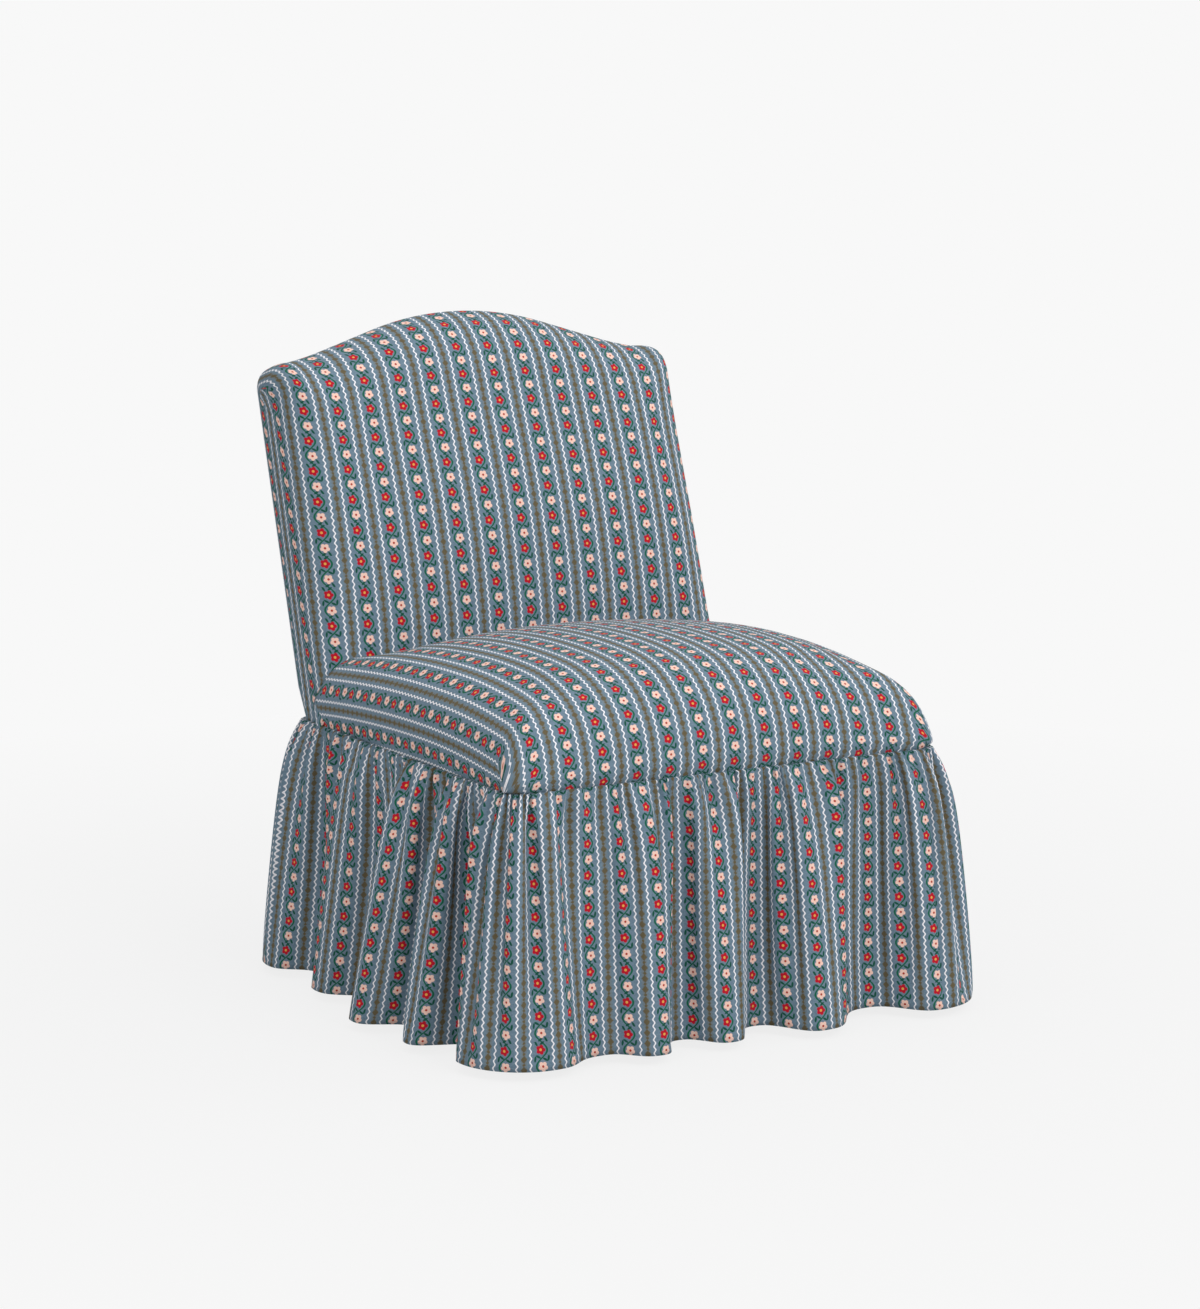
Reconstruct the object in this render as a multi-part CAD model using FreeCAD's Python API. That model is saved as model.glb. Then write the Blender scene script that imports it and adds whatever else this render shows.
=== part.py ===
"""Armless upholstered slipper chair with a camel-shaped back, a crowned seat and a gathered skirt.

Millimetres, +Z up. The front faces -Y. The origin is on the floor under the middle of the chair.
A jointed hardwood frame carries webbing, foam and fabric covers, and the skirt hides the legs.
"""
import FreeCAD
import Part

import math
import os

Vector = FreeCAD.Vector

# Fabric base
seat_width = 620.0          # outside of the cover, side to side
base_depth = 600.0          # outside of the cover at the skirt seam, front to rear
base_front_y = -344.0       # front of the cover at the skirt seam
seam_height = 343.0         # skirt seam above the floor
cover_thickness = 1.5
fit_gap = 0.3               # between soft pieces and what carries them
foam_facets = 4             # flats on each roll of the hidden foam
side_padding = 12.0         # from the outside of the cover to the frame
base_corner_radius = 24.0
side_roll = 42.0            # of the seat's top and the back's front towards the sides

# Seat form
seat_crown_rise = 135.0     # top of the crown above the skirt seam
seat_peak_from_front = 230.0
seat_crown_length_radius = 1415.0
seat_crown_width_radius = 1500.0
seat_front_roll = 95.0
seat_roll_easing = 0.3      # how much the front roll tightens where the crown falls
seat_front_bulge = 8.0      # how far the roll stands in front of the skirt seam
seat_rear_gap = 1.0         # between the seat's cover and the back's

# Frame
rail_height = 110.0
rail_above_seam = 19.0
rail_thickness = 25.0
tenon_thickness = 12.0
tenon_length = 24.0
tenon_shoulder = 15.0
mortise_clearance = 0.2
leg_size = 45.0
leg_foot_size = 32.0
glide_height = 6.0
glide_radius = 12.0
glide_chamfer = 2.0
post_width = 32.0
post_depth = 52.0
post_setback = 8.0
post_foot_depth = 36.0
post_foot_splay = 12.0
corner_block_reach = 80.0
corner_block_height = 28.0
corner_block_drop = 18.0

# Back form, measured up the slope of the back and forward from its rear face
rake_angle = 16.9
rake_foot_out = 24.0        # rear face behind the base where the slope starts
rake_foot_up = 38.0         # and that far above the skirt seam
back_thickness = 110.0
back_bulge = 14.0
back_front_roll = 75.0
back_rear_roll = 24.0
back_front_easing = 46.0    # how much the rolls of the top tighten at the sides
back_rear_easing = 12.0
back_side_rear_roll = 24.0
back_shoulder_roll = 28.0
crest_height = 870.0
crest_radius = 480.0
crest_arc_half = 130.0
crest_slope_half = 215.0
shoulder_half = 290.0
shoulder_slope = 0.12

# Back frame, in the same sloping measure
back_frame_setback = 8.0
back_frame_depth = 42.0
crest_rail_height = 58.0    # at the shoulders
crest_rail_thickness = 30.0
crest_rail_padding = 12.0
crest_tenon_length = 26.0
lower_rail_start = 26.0
lower_rail_height = 50.0
lower_rail_thickness = 22.0
post_bend_end = 14.0
back_seam_inset = 28.0      # from the edge of the back to the seam of the rear panel
seam_gap = 0.4

# Webbing
webbing_width = 50.0
webbing_thickness = 2.0
webbing_play = 0.3
strap_ramp = 5.0
strap_end_inset = 4.0
seat_strap_pitch = 100.0
seat_straps = 5
back_strap_pitch = 130.0
back_straps = 3
hessian_thickness = 1.2
batting_thickness = 4.0

# Skirt
skirt_thickness = 1.5
skirt_hem_height = 12.0
skirt_turn_drop = 12.0      # below the seam, where the gathers have turned down
skirt_turn_out = 13.0
skirt_shoulder_drop = 50.0
skirt_shoulder_out = 30.0
skirt_hem_out = 64.0        # out from the base at the corners
gather_depth = 3.2          # deepest fold at the seam, at the turn, at the shoulder
turn_fold_depth = 7.0
shoulder_fold_depth = 22.0
fold_turn_angle = 30.0
fold_steep_angle = 75.0
fold_turn_share = 0.34
corner_facets = 6
tack_strip_height = 12.0
tack_strip_thickness = 1.5
under_lip = 22.0            # cover turned under the rails
leg_slit = 0.5              # cover clear of the legs
dust_cover_thickness = 1.0

# Hollows and crests of the skirt between two corners, anticlockwise from above.
# Widths of the half folds share the side out; the places out are at the hem, from the base.
front_fold_widths = (81.0, 67.0, 50.0, 58.0, 60.0, 70.0, 105.0, 81.0)
front_folds_out = (36.0, 72.0, 22.0, 64.0, 12.0, 74.0, 8.0)
right_fold_widths = (62.0, 70.0, 58.0, 66.0, 74.0, 80.0, 68.0, 74.0)
right_folds_out = (18.0, 82.0, 30.0, 74.0, 16.0, 92.0, 26.0)
rear_fold_widths = (78.0, 66.0, 60.0, 74.0, 82.0, 64.0, 76.0, 72.0)
rear_folds_out = (24.0, 78.0, 14.0, 84.0, 28.0, 72.0, 18.0)
left_fold_widths = (71.0, 80.0, 80.0, 83.0, 67.0, 60.0, 57.0, 54.0)
left_folds_out = (22.0, 66.0, 20.0, 92.0, 35.0, 80.0, 10.0)

# What follows from them
seat_peak_height = seam_height + seat_crown_rise
rail_top = seam_height + rail_above_seam
half_width = seat_width / 2
base_rear_y = base_front_y + base_depth
rail_bottom = rail_top - rail_height
rail_out_x = half_width - side_padding
rail_in_x = rail_out_x - rail_thickness
front_rail_y = base_front_y + side_padding
front_rail_in_y = front_rail_y + rail_thickness
leg_in_x = rail_out_x - leg_size
leg_back_y = front_rail_y + leg_size
post_in_x = rail_out_x - post_width
post_rear_y = base_rear_y - post_setback
post_front_y = post_rear_y - post_depth
rear_rail_out_y = base_rear_y - side_padding
rear_rail_y = rear_rail_out_y - rail_thickness
rake = math.radians(rake_angle)
rake_foot_y = base_rear_y + rake_foot_out
rake_foot_z = seam_height + rake_foot_up
back_frame_front = back_frame_setback + back_frame_depth
web_level = webbing_thickness + webbing_play
hessian_z = rail_top + 2 * web_level + webbing_play
foam_bottom = hessian_z + hessian_thickness + fit_gap
foam_inset = cover_thickness + fit_gap
back_foam_rear = back_frame_front + 2 * web_level + fit_gap
cover_bottom = rail_bottom - fit_gap - cover_thickness
seam_out = 2 * fit_gap + tack_strip_thickness + skirt_thickness / 2
fold_widths = {
    "front": front_fold_widths,
    "right": right_fold_widths,
    "rear": rear_fold_widths,
    "left": left_fold_widths,
}
folds_out = {
    "front": front_folds_out,
    "right": right_folds_out,
    "rear": rear_folds_out,
    "left": left_folds_out,
}
deepest_fold = skirt_hem_out - min(min(folds) for folds in folds_out.values())


def box(x0, x1, y0, y1, z0, z1):
    return Part.makeBox(x1 - x0, y1 - y0, z1 - z0, Vector(x0, y0, z0))


def prism(points, direction):
    """A polygon of points, closed and pushed along direction."""
    corners = [Vector(*p) for p in points]
    ring = Part.makePolygon(corners + corners[:1])
    return Part.Face(ring).extrude(Vector(*direction))


def mirrored(shape):
    return shape.mirror(Vector(0, 0, 0), Vector(1, 0, 0))


def both_sides(shape):
    return [shape, mirrored(shape)]


def cut_all(shape, tools):
    for tool in tools:
        shape = shape.cut(tool)
    return shape


def arc(first, middle, last):
    return Part.Arc(first, middle, last).toShape()


def bow(first, middle, last, facets):
    """Edges of an arc, or of this many chords of it."""
    if facets == 0:
        return [arc(first, middle, last)]
    curve = Part.Arc(first, middle, last)
    u0 = curve.FirstParameter
    step = (curve.LastParameter - u0) / facets
    inner = [curve.value(u0 + step * i) for i in range(1, facets)]
    return Part.makePolygon([first] + inner + [last]).Edges


def flat_loft(rings):
    """Solid through polygons whose matching sides are parallel, so that every face is flat."""
    faces = []
    for low, high in zip(rings[:-1], rings[1:]):
        for i in range(len(low)):
            j = (i + 1) % len(low)
            faces.append(Part.Face(Part.makePolygon([low[i], low[j], high[j], high[i], low[i]])))
    faces.append(Part.Face(Part.makePolygon(rings[0] + rings[0][:1])))
    faces.append(Part.Face(Part.makePolygon(rings[-1] + rings[-1][:1])))
    shell = Part.makeShell(faces)
    shell.sewShape()
    return Part.makeSolid(shell)


def line(first, last):
    return Part.makeLine(first, last)


def on_slope(up, forward):
    """(y, z) of a point given up the slope of the back and forward from its rear face."""
    y = rake_foot_y + up * math.sin(rake) - forward * math.cos(rake)
    z = rake_foot_z + up * math.cos(rake) + forward * math.sin(rake)
    return y, z


def slope_point(x, up, forward):
    y, z = on_slope(up, forward)
    return Vector(x, y, z)


def slope_step(length):
    """A step of this length in the forward direction of the back."""
    return Vector(0, -length * math.cos(rake), length * math.sin(rake))


def slope_box(x0, x1, up0, up1, forward0, forward1):
    """A box that lies along the slope of the back."""
    corners = [(up0, forward0), (up1, forward0), (up1, forward1), (up0, forward1)]
    return prism([(x0, *on_slope(up, forward)) for up, forward in corners], (x1 - x0, 0, 0))


def round_off(x, radius, inset):
    """How far an edge rounded towards the sides has fallen back at x."""
    over = min(max(0.0, abs(x) - (half_width - radius)), radius - inset)
    return radius - inset - math.sqrt((radius - inset) ** 2 - over ** 2)


def stations(half, roll, places):
    """Places across the width where a form is cut: close together on its side roll."""
    roll_x = half_width - roll
    rolled = [roll_x + (half - roll_x) * math.sin(math.radians(angle)) for angle in (90, 60, 30)]
    side = rolled + sorted(places, reverse=True)
    return [-x for x in side] + [0.0] + side[::-1]


# Seat

def seat_drop(x, inset):
    """Fall of the seat from its middle line: a crown arc that runs into a side roll."""
    roll_x = half_width - side_roll
    roll = side_roll - inset
    reach = seat_crown_width_radius - side_roll
    radius = seat_crown_width_radius - inset
    if abs(x) <= roll_x * radius / reach:
        return radius - math.sqrt(radius ** 2 - x ** 2)
    roll_drop = radius - math.sqrt(reach ** 2 - roll_x ** 2)
    return roll_drop - math.sqrt(max(0.0, roll ** 2 - (abs(x) - roll_x) ** 2))


def back_front(x, z):
    """y of the front of the back's cover at x and z, from its foot up to its top roll."""
    flat = back_thickness - round_off(x, side_roll, 0.0)
    low = -math.tan(rake) * flat
    high = crest_up(x) - round_off(x, back_shoulder_roll, 0.0) - back_front_roll
    forward = flat
    for _ in range(6):
        up = (z - rake_foot_z - forward * math.sin(rake)) / math.cos(rake)
        share = (2 * up - low - high) / (high - low)
        forward = flat + back_bow(x) * max(0.0, 1 - share ** 2)
    return rake_foot_y + up * math.sin(rake) - forward * math.cos(rake)


def back_bow(x):
    """How far the front of the back bows out at x."""
    return back_bulge * (1 - 0.9 * (x / half_width) ** 2)


def seat_section(x, inset, bottom, facets):
    """Closed section of the seat form at x, drawn in by inset on all sides but its bottom."""
    drop = seat_drop(x, inset)
    fall_back = round_off(x, base_corner_radius, inset)
    radius = seat_crown_length_radius - inset
    roll = seat_front_roll - seat_roll_easing * drop - inset
    peak_y = base_front_y + seat_peak_from_front
    centre_z = seat_peak_height - inset - drop - radius
    front_y = base_front_y - seat_front_bulge + fall_back + inset
    roll_y = front_y + roll
    roll_z = centre_z + math.sqrt((radius - roll) ** 2 - (roll_y - peak_y) ** 2)
    lean = math.asin((peak_y - roll_y) / (radius - roll))
    join = Vector(x, peak_y - radius * math.sin(lean), centre_z + radius * math.cos(lean))
    half_turn = (math.pi / 2 - lean) / 2
    roll_mid = Vector(x, roll_y - roll * math.cos(half_turn), roll_z + roll * math.sin(half_turn))
    front_top = Vector(x, front_y, roll_z)
    seam = Vector(x, front_y + seat_front_bulge, seam_height)
    front_foot = Vector(x, seam.y, bottom)
    rear_y = peak_y
    for _ in range(30):
        top_z = centre_z + math.sqrt(radius ** 2 - (rear_y - peak_y) ** 2)
        rear_y = back_front(x, top_z) - seat_rear_gap - inset
    rear_top = Vector(x, rear_y, top_z)
    middle_y = (join.y + rear_y) / 2
    crown_mid = Vector(x, middle_y, centre_z + math.sqrt(radius ** 2 - (middle_y - peak_y) ** 2))
    rear_foot = Vector(x, back_front(x, bottom) - seat_rear_gap - inset, bottom)
    edges = [line(front_foot, seam), line(seam, front_top)]
    edges += bow(front_top, roll_mid, join, facets)
    edges += bow(join, crown_mid, rear_top, facets)
    edges += [line(rear_top, rear_foot), line(rear_foot, front_foot)]
    return Part.Wire(edges)


def seat_form(inset, bottom, facets=0):
    cuts = stations(half_width - inset, side_roll, (half_width - side_roll, crest_arc_half))
    return Part.makeLoft([seat_section(x, inset, bottom, facets) for x in cuts], True, True)


def leg_openings():
    """What the legs and posts need to pass through the covers under the rails."""
    low = cover_bottom - 1.0
    x0 = leg_in_x - leg_slit
    x1 = rail_out_x + leg_slit
    front = box(x0, x1, front_rail_y - leg_slit, leg_back_y + leg_slit, low, rail_bottom)
    x0 = post_in_x - leg_slit
    rear = box(x0, x1, post_front_y - leg_slit, post_rear_y + leg_slit, low, rail_bottom)
    return both_sides(front) + both_sides(rear)


def seat_cover():
    """Top, front, sides and rear tuck of the seat, turned under the front and side rails."""
    shell = seat_form(0.0, cover_bottom).cut(seat_form(cover_thickness, rail_bottom - fit_gap))
    inside = half_width - cover_thickness
    behind = box(-inside, inside, leg_back_y, base_rear_y, rail_bottom, foam_bottom)
    lip_x = rail_out_x - under_lip
    below = cover_bottom - 1.0
    under = box(-lip_x, lip_x, front_rail_y + under_lip, base_rear_y, below, rail_bottom)
    return cut_all(shell, [behind, under] + leg_openings())


def seat_foam():
    form = seat_form(foam_inset, rail_bottom, foam_facets)
    out = half_width + 1.0
    return form.cut(box(-out, out, base_front_y - 20.0, base_rear_y, rail_bottom - 1.0, foam_bottom))


def rail_batting():
    """Strips of batting on the outside of the rails, short of the rounded corners."""
    out = half_width - foam_inset
    x = rail_out_x + fit_gap
    x1 = half_width - base_corner_radius
    y0 = base_front_y + base_corner_radius
    y1 = base_rear_y - base_corner_radius
    front_y = base_front_y + foam_inset
    rear_y = base_rear_y - foam_inset
    top = seam_height + 6.0
    front = box(-x1, x1, front_y, front_rail_y - fit_gap, rail_bottom, top)
    rear = box(-x1, x1, rear_rail_out_y + fit_gap, rear_y, rail_bottom, top)
    posts = box(post_in_x - fit_gap, x, post_front_y, base_rear_y, rail_bottom, top)
    rear = cut_all(rear, both_sides(posts))
    return [front, rear] + both_sides(box(x, out, y0, y1, rail_bottom, top))


def strap_profile(start, end, crossings):
    """(along, level) corners of a strap that climbs over the crossings marked as high."""
    reach = webbing_width / 2
    low = webbing_play
    high = low + web_level
    bottom = [(start, low)]
    for place, over in crossings:
        if over:
            bottom.append((place - reach - strap_ramp, low))
            bottom.append((place - reach, high))
            bottom.append((place + reach, high))
            bottom.append((place + reach + strap_ramp, low))
    bottom.append((end, low))
    top = [(along, level + webbing_thickness) for along, level in reversed(bottom)]
    return bottom + top


def woven(places, other, start, end, parity, lay):
    """One direction of a woven set; lay turns (across, along, level) into a solid."""
    straps = []
    for i, place in enumerate(places):
        crossings = [(q, (i + j) % 2 == parity) for j, q in enumerate(other)]
        straps.append(lay(place - webbing_width / 2, strap_profile(start, end, crossings)))
    return straps


def spaced(count, pitch, middle):
    return [middle + (i - (count - 1) / 2) * pitch for i in range(count)]


def seat_webbing():
    """Lengthwise and crosswise straps on top of the rails, woven through each other."""
    columns = spaced(seat_straps, seat_strap_pitch, 0.0)
    rows = spaced(seat_straps, seat_strap_pitch, (front_rail_in_y + post_front_y) / 2 - 12.0)
    y0 = front_rail_y + strap_end_inset
    y1 = rear_rail_out_y - strap_end_inset
    x1 = rail_out_x - strap_end_inset

    def lay_lengthwise(x, profile):
        ring = [(x, along, rail_top + level) for along, level in profile]
        return prism(ring, (webbing_width, 0, 0))

    def lay_crosswise(y, profile):
        ring = [(along, y, rail_top + level) for along, level in profile]
        return prism(ring, (0, webbing_width, 0))

    lengthwise = woven(columns, rows, y0, y1, 0, lay_lengthwise)
    crosswise = woven(rows, columns, -x1, x1, 1, lay_crosswise)
    return lengthwise, crosswise


def seat_hessian():
    """Sheet over the webbing, narrowed behind to pass between the posts."""
    x0 = post_in_x - 2.0
    x1 = rail_out_x - 2.0
    y0 = front_rail_y + 2.0
    y1 = post_front_y - 2.0
    y2 = rear_rail_out_y - 2.0
    plan = [(-x1, y0), (x1, y0), (x1, y1), (x0, y1), (x0, y2), (-x0, y2), (-x0, y1), (-x1, y1)]
    return prism([(x, y, hessian_z) for x, y in plan], (0, 0, hessian_thickness))


# Frame

def tenon_box(x0, x1, y0, y1, grow):
    """A tenon's box, or its mortise when grown by the clearance."""
    z0 = rail_bottom + tenon_shoulder - grow
    z1 = rail_top - tenon_shoulder + grow
    return box(x0 - grow, x1 + grow, y0 - grow, y1 + grow, z0, z1)


def front_tenon(grow=0.0):
    y = front_rail_y + (rail_thickness - tenon_thickness) / 2
    return tenon_box(leg_in_x - 1.0, leg_in_x + tenon_length, y, y + tenon_thickness, grow)


def rear_tenon(grow=0.0):
    y = rear_rail_y + (rail_thickness - tenon_thickness) / 2
    return tenon_box(post_in_x - 1.0, post_in_x + tenon_length, y, y + tenon_thickness, grow)


def side_tenons(grow=0.0):
    x = rail_in_x + (rail_thickness - tenon_thickness) / 2
    x1 = x + tenon_thickness
    fore = tenon_box(x, x1, leg_back_y - tenon_length, leg_back_y + 1.0, grow)
    aft = tenon_box(x, x1, post_front_y - 1.0, post_front_y + tenon_length, grow)
    return [fore, aft]


def front_rail():
    rail = box(-leg_in_x, leg_in_x, front_rail_y, front_rail_in_y, rail_bottom, rail_top)
    return rail.fuse(both_sides(front_tenon())).removeSplitter()


def rear_rail():
    rail = box(-post_in_x, post_in_x, rear_rail_y, rear_rail_out_y, rail_bottom, rail_top)
    return rail.fuse(both_sides(rear_tenon())).removeSplitter()


def side_rail():
    rail = box(rail_in_x, rail_out_x, leg_back_y, post_front_y, rail_bottom, rail_top)
    return rail.fuse(side_tenons()).removeSplitter()


def square(x_out, y_out, size, z):
    ring = [Vector(x_out - size, y_out, z), Vector(x_out, y_out, z)]
    ring += [Vector(x_out, y_out + size, z), Vector(x_out - size, y_out + size, z)]
    return Part.makePolygon(ring + ring[:1])


def front_leg_centre():
    return rail_out_x - leg_foot_size / 2, front_rail_y + leg_foot_size / 2


def post_foot_centre():
    return rail_out_x - post_width / 2, post_rear_y + post_foot_splay - post_foot_depth / 2


def glide(x, y):
    """Turned foot glide, wider at the leg than on the floor."""
    return Part.makeCone(glide_radius - glide_chamfer, glide_radius, glide_height, Vector(x, y, 0))


def foot_glides():
    return both_sides(glide(*front_leg_centre())) + both_sides(glide(*post_foot_centre()))


def front_leg():
    """Square at the rails, tapered to the foot on its inner faces."""
    head = box(leg_in_x, rail_out_x, front_rail_y, leg_back_y, rail_bottom, rail_top)
    top = square(rail_out_x, front_rail_y, leg_size, rail_bottom)
    foot = square(rail_out_x, front_rail_y, leg_foot_size, glide_height)
    leg = head.fuse(Part.makeLoft([foot, top], True, True)).removeSplitter()
    mortises = [front_tenon(mortise_clearance), side_tenons(mortise_clearance)[0]]
    return cut_all(leg, mortises)


def post_front_bend():
    return (post_front_y, rail_top + 3 * web_level)


def post():
    """Rear leg and back post, cut from one board with a bend above the rails."""
    foot_y = post_rear_y + post_foot_splay
    top = crest_rail_underside()
    outline = [
        (foot_y - post_foot_depth, glide_height),
        (foot_y, glide_height),
        (post_rear_y, rail_bottom),
        (post_rear_y, seam_height),
        on_slope(0.0, back_frame_setback),
        on_slope(top, back_frame_setback),
        on_slope(top, back_frame_front),
        on_slope(post_bend_end, back_frame_front),
        post_front_bend(),
        (post_front_y, rail_bottom),
    ]
    board = prism([(post_in_x, y, z) for y, z in outline], (post_width, 0, 0))
    board = board.fuse(crest_tenon()).removeSplitter()
    mortises = [rear_tenon(mortise_clearance), side_tenons(mortise_clearance)[1]]
    return cut_all(board, mortises + [lower_tenon(mortise_clearance)])


def crest_z(x):
    """Camel line of the top: an arc, a straight slope and a hollow that eases into the shoulder."""
    x = abs(x)
    apex = min(x, crest_arc_half)
    height = crest_height - crest_radius + math.sqrt(crest_radius ** 2 - apex ** 2)
    slope = crest_arc_half / math.sqrt(crest_radius ** 2 - crest_arc_half ** 2)
    height -= slope * max(0.0, min(x, crest_slope_half) - crest_arc_half)
    hollow = max(0.0, min(x, shoulder_half) - crest_slope_half)
    ease = (slope - shoulder_slope) / (shoulder_half - crest_slope_half) / 2
    height -= slope * hollow - ease * hollow ** 2
    return height - shoulder_slope * max(0.0, x - shoulder_half)


def crest_up(x):
    """The camel line, measured up the slope."""
    highest = back_thickness - back_front_roll
    lift = rake_foot_z + highest * math.sin(rake) - back_front_roll * math.cos(rake)
    return (crest_z(x) - lift - back_front_roll) / math.cos(rake)


def crest_rail_underside():
    shoulder = crest_up(rail_out_x) - round_off(rail_out_x, back_shoulder_roll, 0.0)
    return shoulder - crest_rail_padding - crest_rail_height


def camel_outline(half, drop, low, forward):
    """Face under the camel line, lowered by drop and ending below at low."""
    def at(x):
        return slope_point(x, crest_up(x) - drop, forward)

    hollow_mid = (crest_slope_half + half) / 2
    edges = [
        line(slope_point(-half, low, forward), at(-half)),
        arc(at(-half), at(-hollow_mid), at(-crest_slope_half)),
        line(at(-crest_slope_half), at(-crest_arc_half)),
        arc(at(-crest_arc_half), at(0.0), at(crest_arc_half)),
        line(at(crest_arc_half), at(crest_slope_half)),
        arc(at(crest_slope_half), at(hollow_mid), at(half)),
        line(at(half), slope_point(half, low, forward)),
        line(slope_point(half, low, forward), slope_point(-half, low, forward)),
    ]
    return Part.Face(Part.Wire(edges))


def crest_tenon(grow=0.0):
    low = crest_rail_underside()
    rear = back_frame_front - crest_rail_thickness / 2 - tenon_thickness / 2
    x0 = post_in_x + (post_width - tenon_thickness) / 2 - grow
    x1 = x0 + tenon_thickness + 2 * grow
    up1 = low + crest_tenon_length + grow
    return slope_box(x0, x1, low - 1.0, up1, rear - grow, rear + tenon_thickness + grow)


def lower_tenon(grow=0.0):
    up0 = lower_rail_start + tenon_shoulder - grow
    up1 = lower_rail_start + lower_rail_height - tenon_shoulder + grow
    rear = back_frame_front - lower_rail_thickness / 2 - tenon_thickness / 2 - grow
    x1 = post_in_x + tenon_length + grow
    return slope_box(post_in_x - 1.0, x1, up0, up1, rear, rear + tenon_thickness + 2 * grow)


def crest_rail():
    """Camel-shaped board on top of the posts."""
    rear = back_frame_front - crest_rail_thickness
    drop = crest_rail_padding + round_off(rail_out_x, back_shoulder_roll, 0.0)
    face = camel_outline(rail_out_x, drop, crest_rail_underside(), rear)
    board = face.extrude(slope_step(crest_rail_thickness))
    return cut_all(board, both_sides(crest_tenon(mortise_clearance)))


def lower_back_rail():
    rear = back_frame_front - lower_rail_thickness
    up1 = lower_rail_start + lower_rail_height
    x = post_in_x
    board = slope_box(-x, x, lower_rail_start, up1, rear, back_frame_front)
    return board.fuse(both_sides(lower_tenon())).removeSplitter()


def corner_blocks():
    """Glue blocks in the corners of the rails, notched round the legs and posts."""
    gap = 0.3
    z = rail_top - corner_block_drop - corner_block_height
    x = rail_in_x
    tip_x = x - corner_block_reach
    y = front_rail_in_y
    front = [(x, y + corner_block_reach), (x, leg_back_y + gap), (leg_in_x - gap, leg_back_y + gap)]
    front += [(leg_in_x - gap, y), (tip_x, y)]
    y = rear_rail_y
    rear = [(x, y - corner_block_reach), (x, post_front_y - gap), (post_in_x - gap, post_front_y - gap)]
    rear += [(post_in_x - gap, y), (tip_x, y)]
    blocks = []
    for plan in (front, rear):
        block = prism([(px, py, z) for px, py in plan], (0, 0, corner_block_height))
        blocks += both_sides(block)
    return blocks


# Back

def back_section(x, inset, bottom, facets):
    """Closed section of the back form at x, drawn in by inset all round but not at its foot."""
    front = back_thickness - round_off(x, side_roll, inset) - inset
    rear = round_off(x, back_side_rear_roll, inset) + inset
    top = crest_up(x) - round_off(x, back_shoulder_roll, inset) - inset
    edge = (abs(x) - half_width + side_roll) / side_roll
    edge = min(max(edge, 0.0), 1.0)
    front_roll = back_front_roll - back_front_easing * edge - inset
    rear_roll = back_rear_roll - back_rear_easing * edge - inset
    low_front = -math.tan(rake) * front
    kept = 1 - math.cos(math.pi / 4)

    def at(up, forward):
        return slope_point(x, up, forward)

    front_knee = at(low_front, front)
    front_top = at(top - front_roll, front)
    front_mid = at((low_front + top - front_roll) / 2, front + back_bow(x))
    front_roll_mid = at(top - front_roll * kept, front - front_roll * kept)
    top_front = at(top, front - front_roll)
    top_rear = at(top, rear + rear_roll)
    rear_roll_mid = at(top - rear_roll * kept, rear + rear_roll * kept)
    rear_top = at(top - rear_roll, rear)
    rear_knee = at(0.0, rear)
    rear_seam = Vector(x, base_rear_y - rear, seam_height)
    rear_foot = Vector(x, rear_seam.y, bottom)
    front_foot = Vector(x, front_knee.y - (front_knee.z - bottom) * math.tan(rake), bottom)
    edges = [line(front_foot, front_knee)]
    edges += bow(front_knee, front_mid, front_top, facets)
    edges += bow(front_top, front_roll_mid, top_front, facets)
    edges.append(line(top_front, top_rear))
    edges += bow(top_rear, rear_roll_mid, rear_top, facets)
    edges += [line(rear_top, rear_knee), line(rear_knee, rear_seam)]
    edges += [line(rear_seam, rear_foot), line(rear_foot, front_foot)]
    return Part.Wire(edges)


def back_form(inset, bottom, facets=0):
    places = (half_width - side_roll, crest_slope_half, crest_arc_half, crest_arc_half / 2)
    cuts = stations(half_width - inset, side_roll, places)
    return Part.makeLoft([back_section(x, inset, bottom, facets) for x in cuts], True, True)


def back_core(grow):
    """Room of the back frame and its webbing, open to the rear."""
    x = rail_out_x + grow
    drop = crest_rail_padding + round_off(rail_out_x, back_shoulder_roll, 0.0) - grow
    upper = camel_outline(x, drop, post_bend_end, -60.0)
    upper = upper.extrude(slope_step(60.0 + back_foam_rear))
    deck = foam_bottom + grow
    front_low_y, _ = on_slope(-180.0, back_thickness)
    y, z = post_front_bend()
    side = [
        (front_low_y - 40.0, cover_bottom - 5.0),
        (front_low_y - 40.0, deck),
        (y - grow, max(deck, z)),
        on_slope(post_bend_end, back_foam_rear),
        on_slope(post_bend_end + 1.0, back_foam_rear),
        on_slope(post_bend_end + 1.0, -60.0),
        (base_rear_y + 60.0, cover_bottom - 5.0),
    ]
    lower = prism([(-x, sy, sz) for sy, sz in side], (2 * x, 0, 0))
    return upper.fuse(lower)


def back_foam():
    """Foam in front of the back frame and over its edges, standing on the seat deck."""
    form = back_form(foam_inset, rail_bottom, foam_facets).cut(back_core(fit_gap))
    out = half_width + 1.0
    skirted = box(-out, out, base_front_y, base_rear_y + 50.0, rail_bottom - 1.0, foam_bottom)
    return form.cut(skirted)


def rear_panel_tool(grow):
    """Block that takes the rear panel out of the shell of the back."""
    half = half_width - back_seam_inset + grow
    drop = back_seam_inset - grow
    foot = (rake_foot_z - cover_bottom) / math.cos(rake) + 20.0
    face = camel_outline(half, drop, -foot, -60.0)
    panel = face.extrude(slope_step(60.0 + 14.0))
    low = cover_bottom - 1.0
    return panel.fuse(box(-half, half, rear_rail_y, base_rear_y + 1.0, low, rail_bottom))


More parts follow.
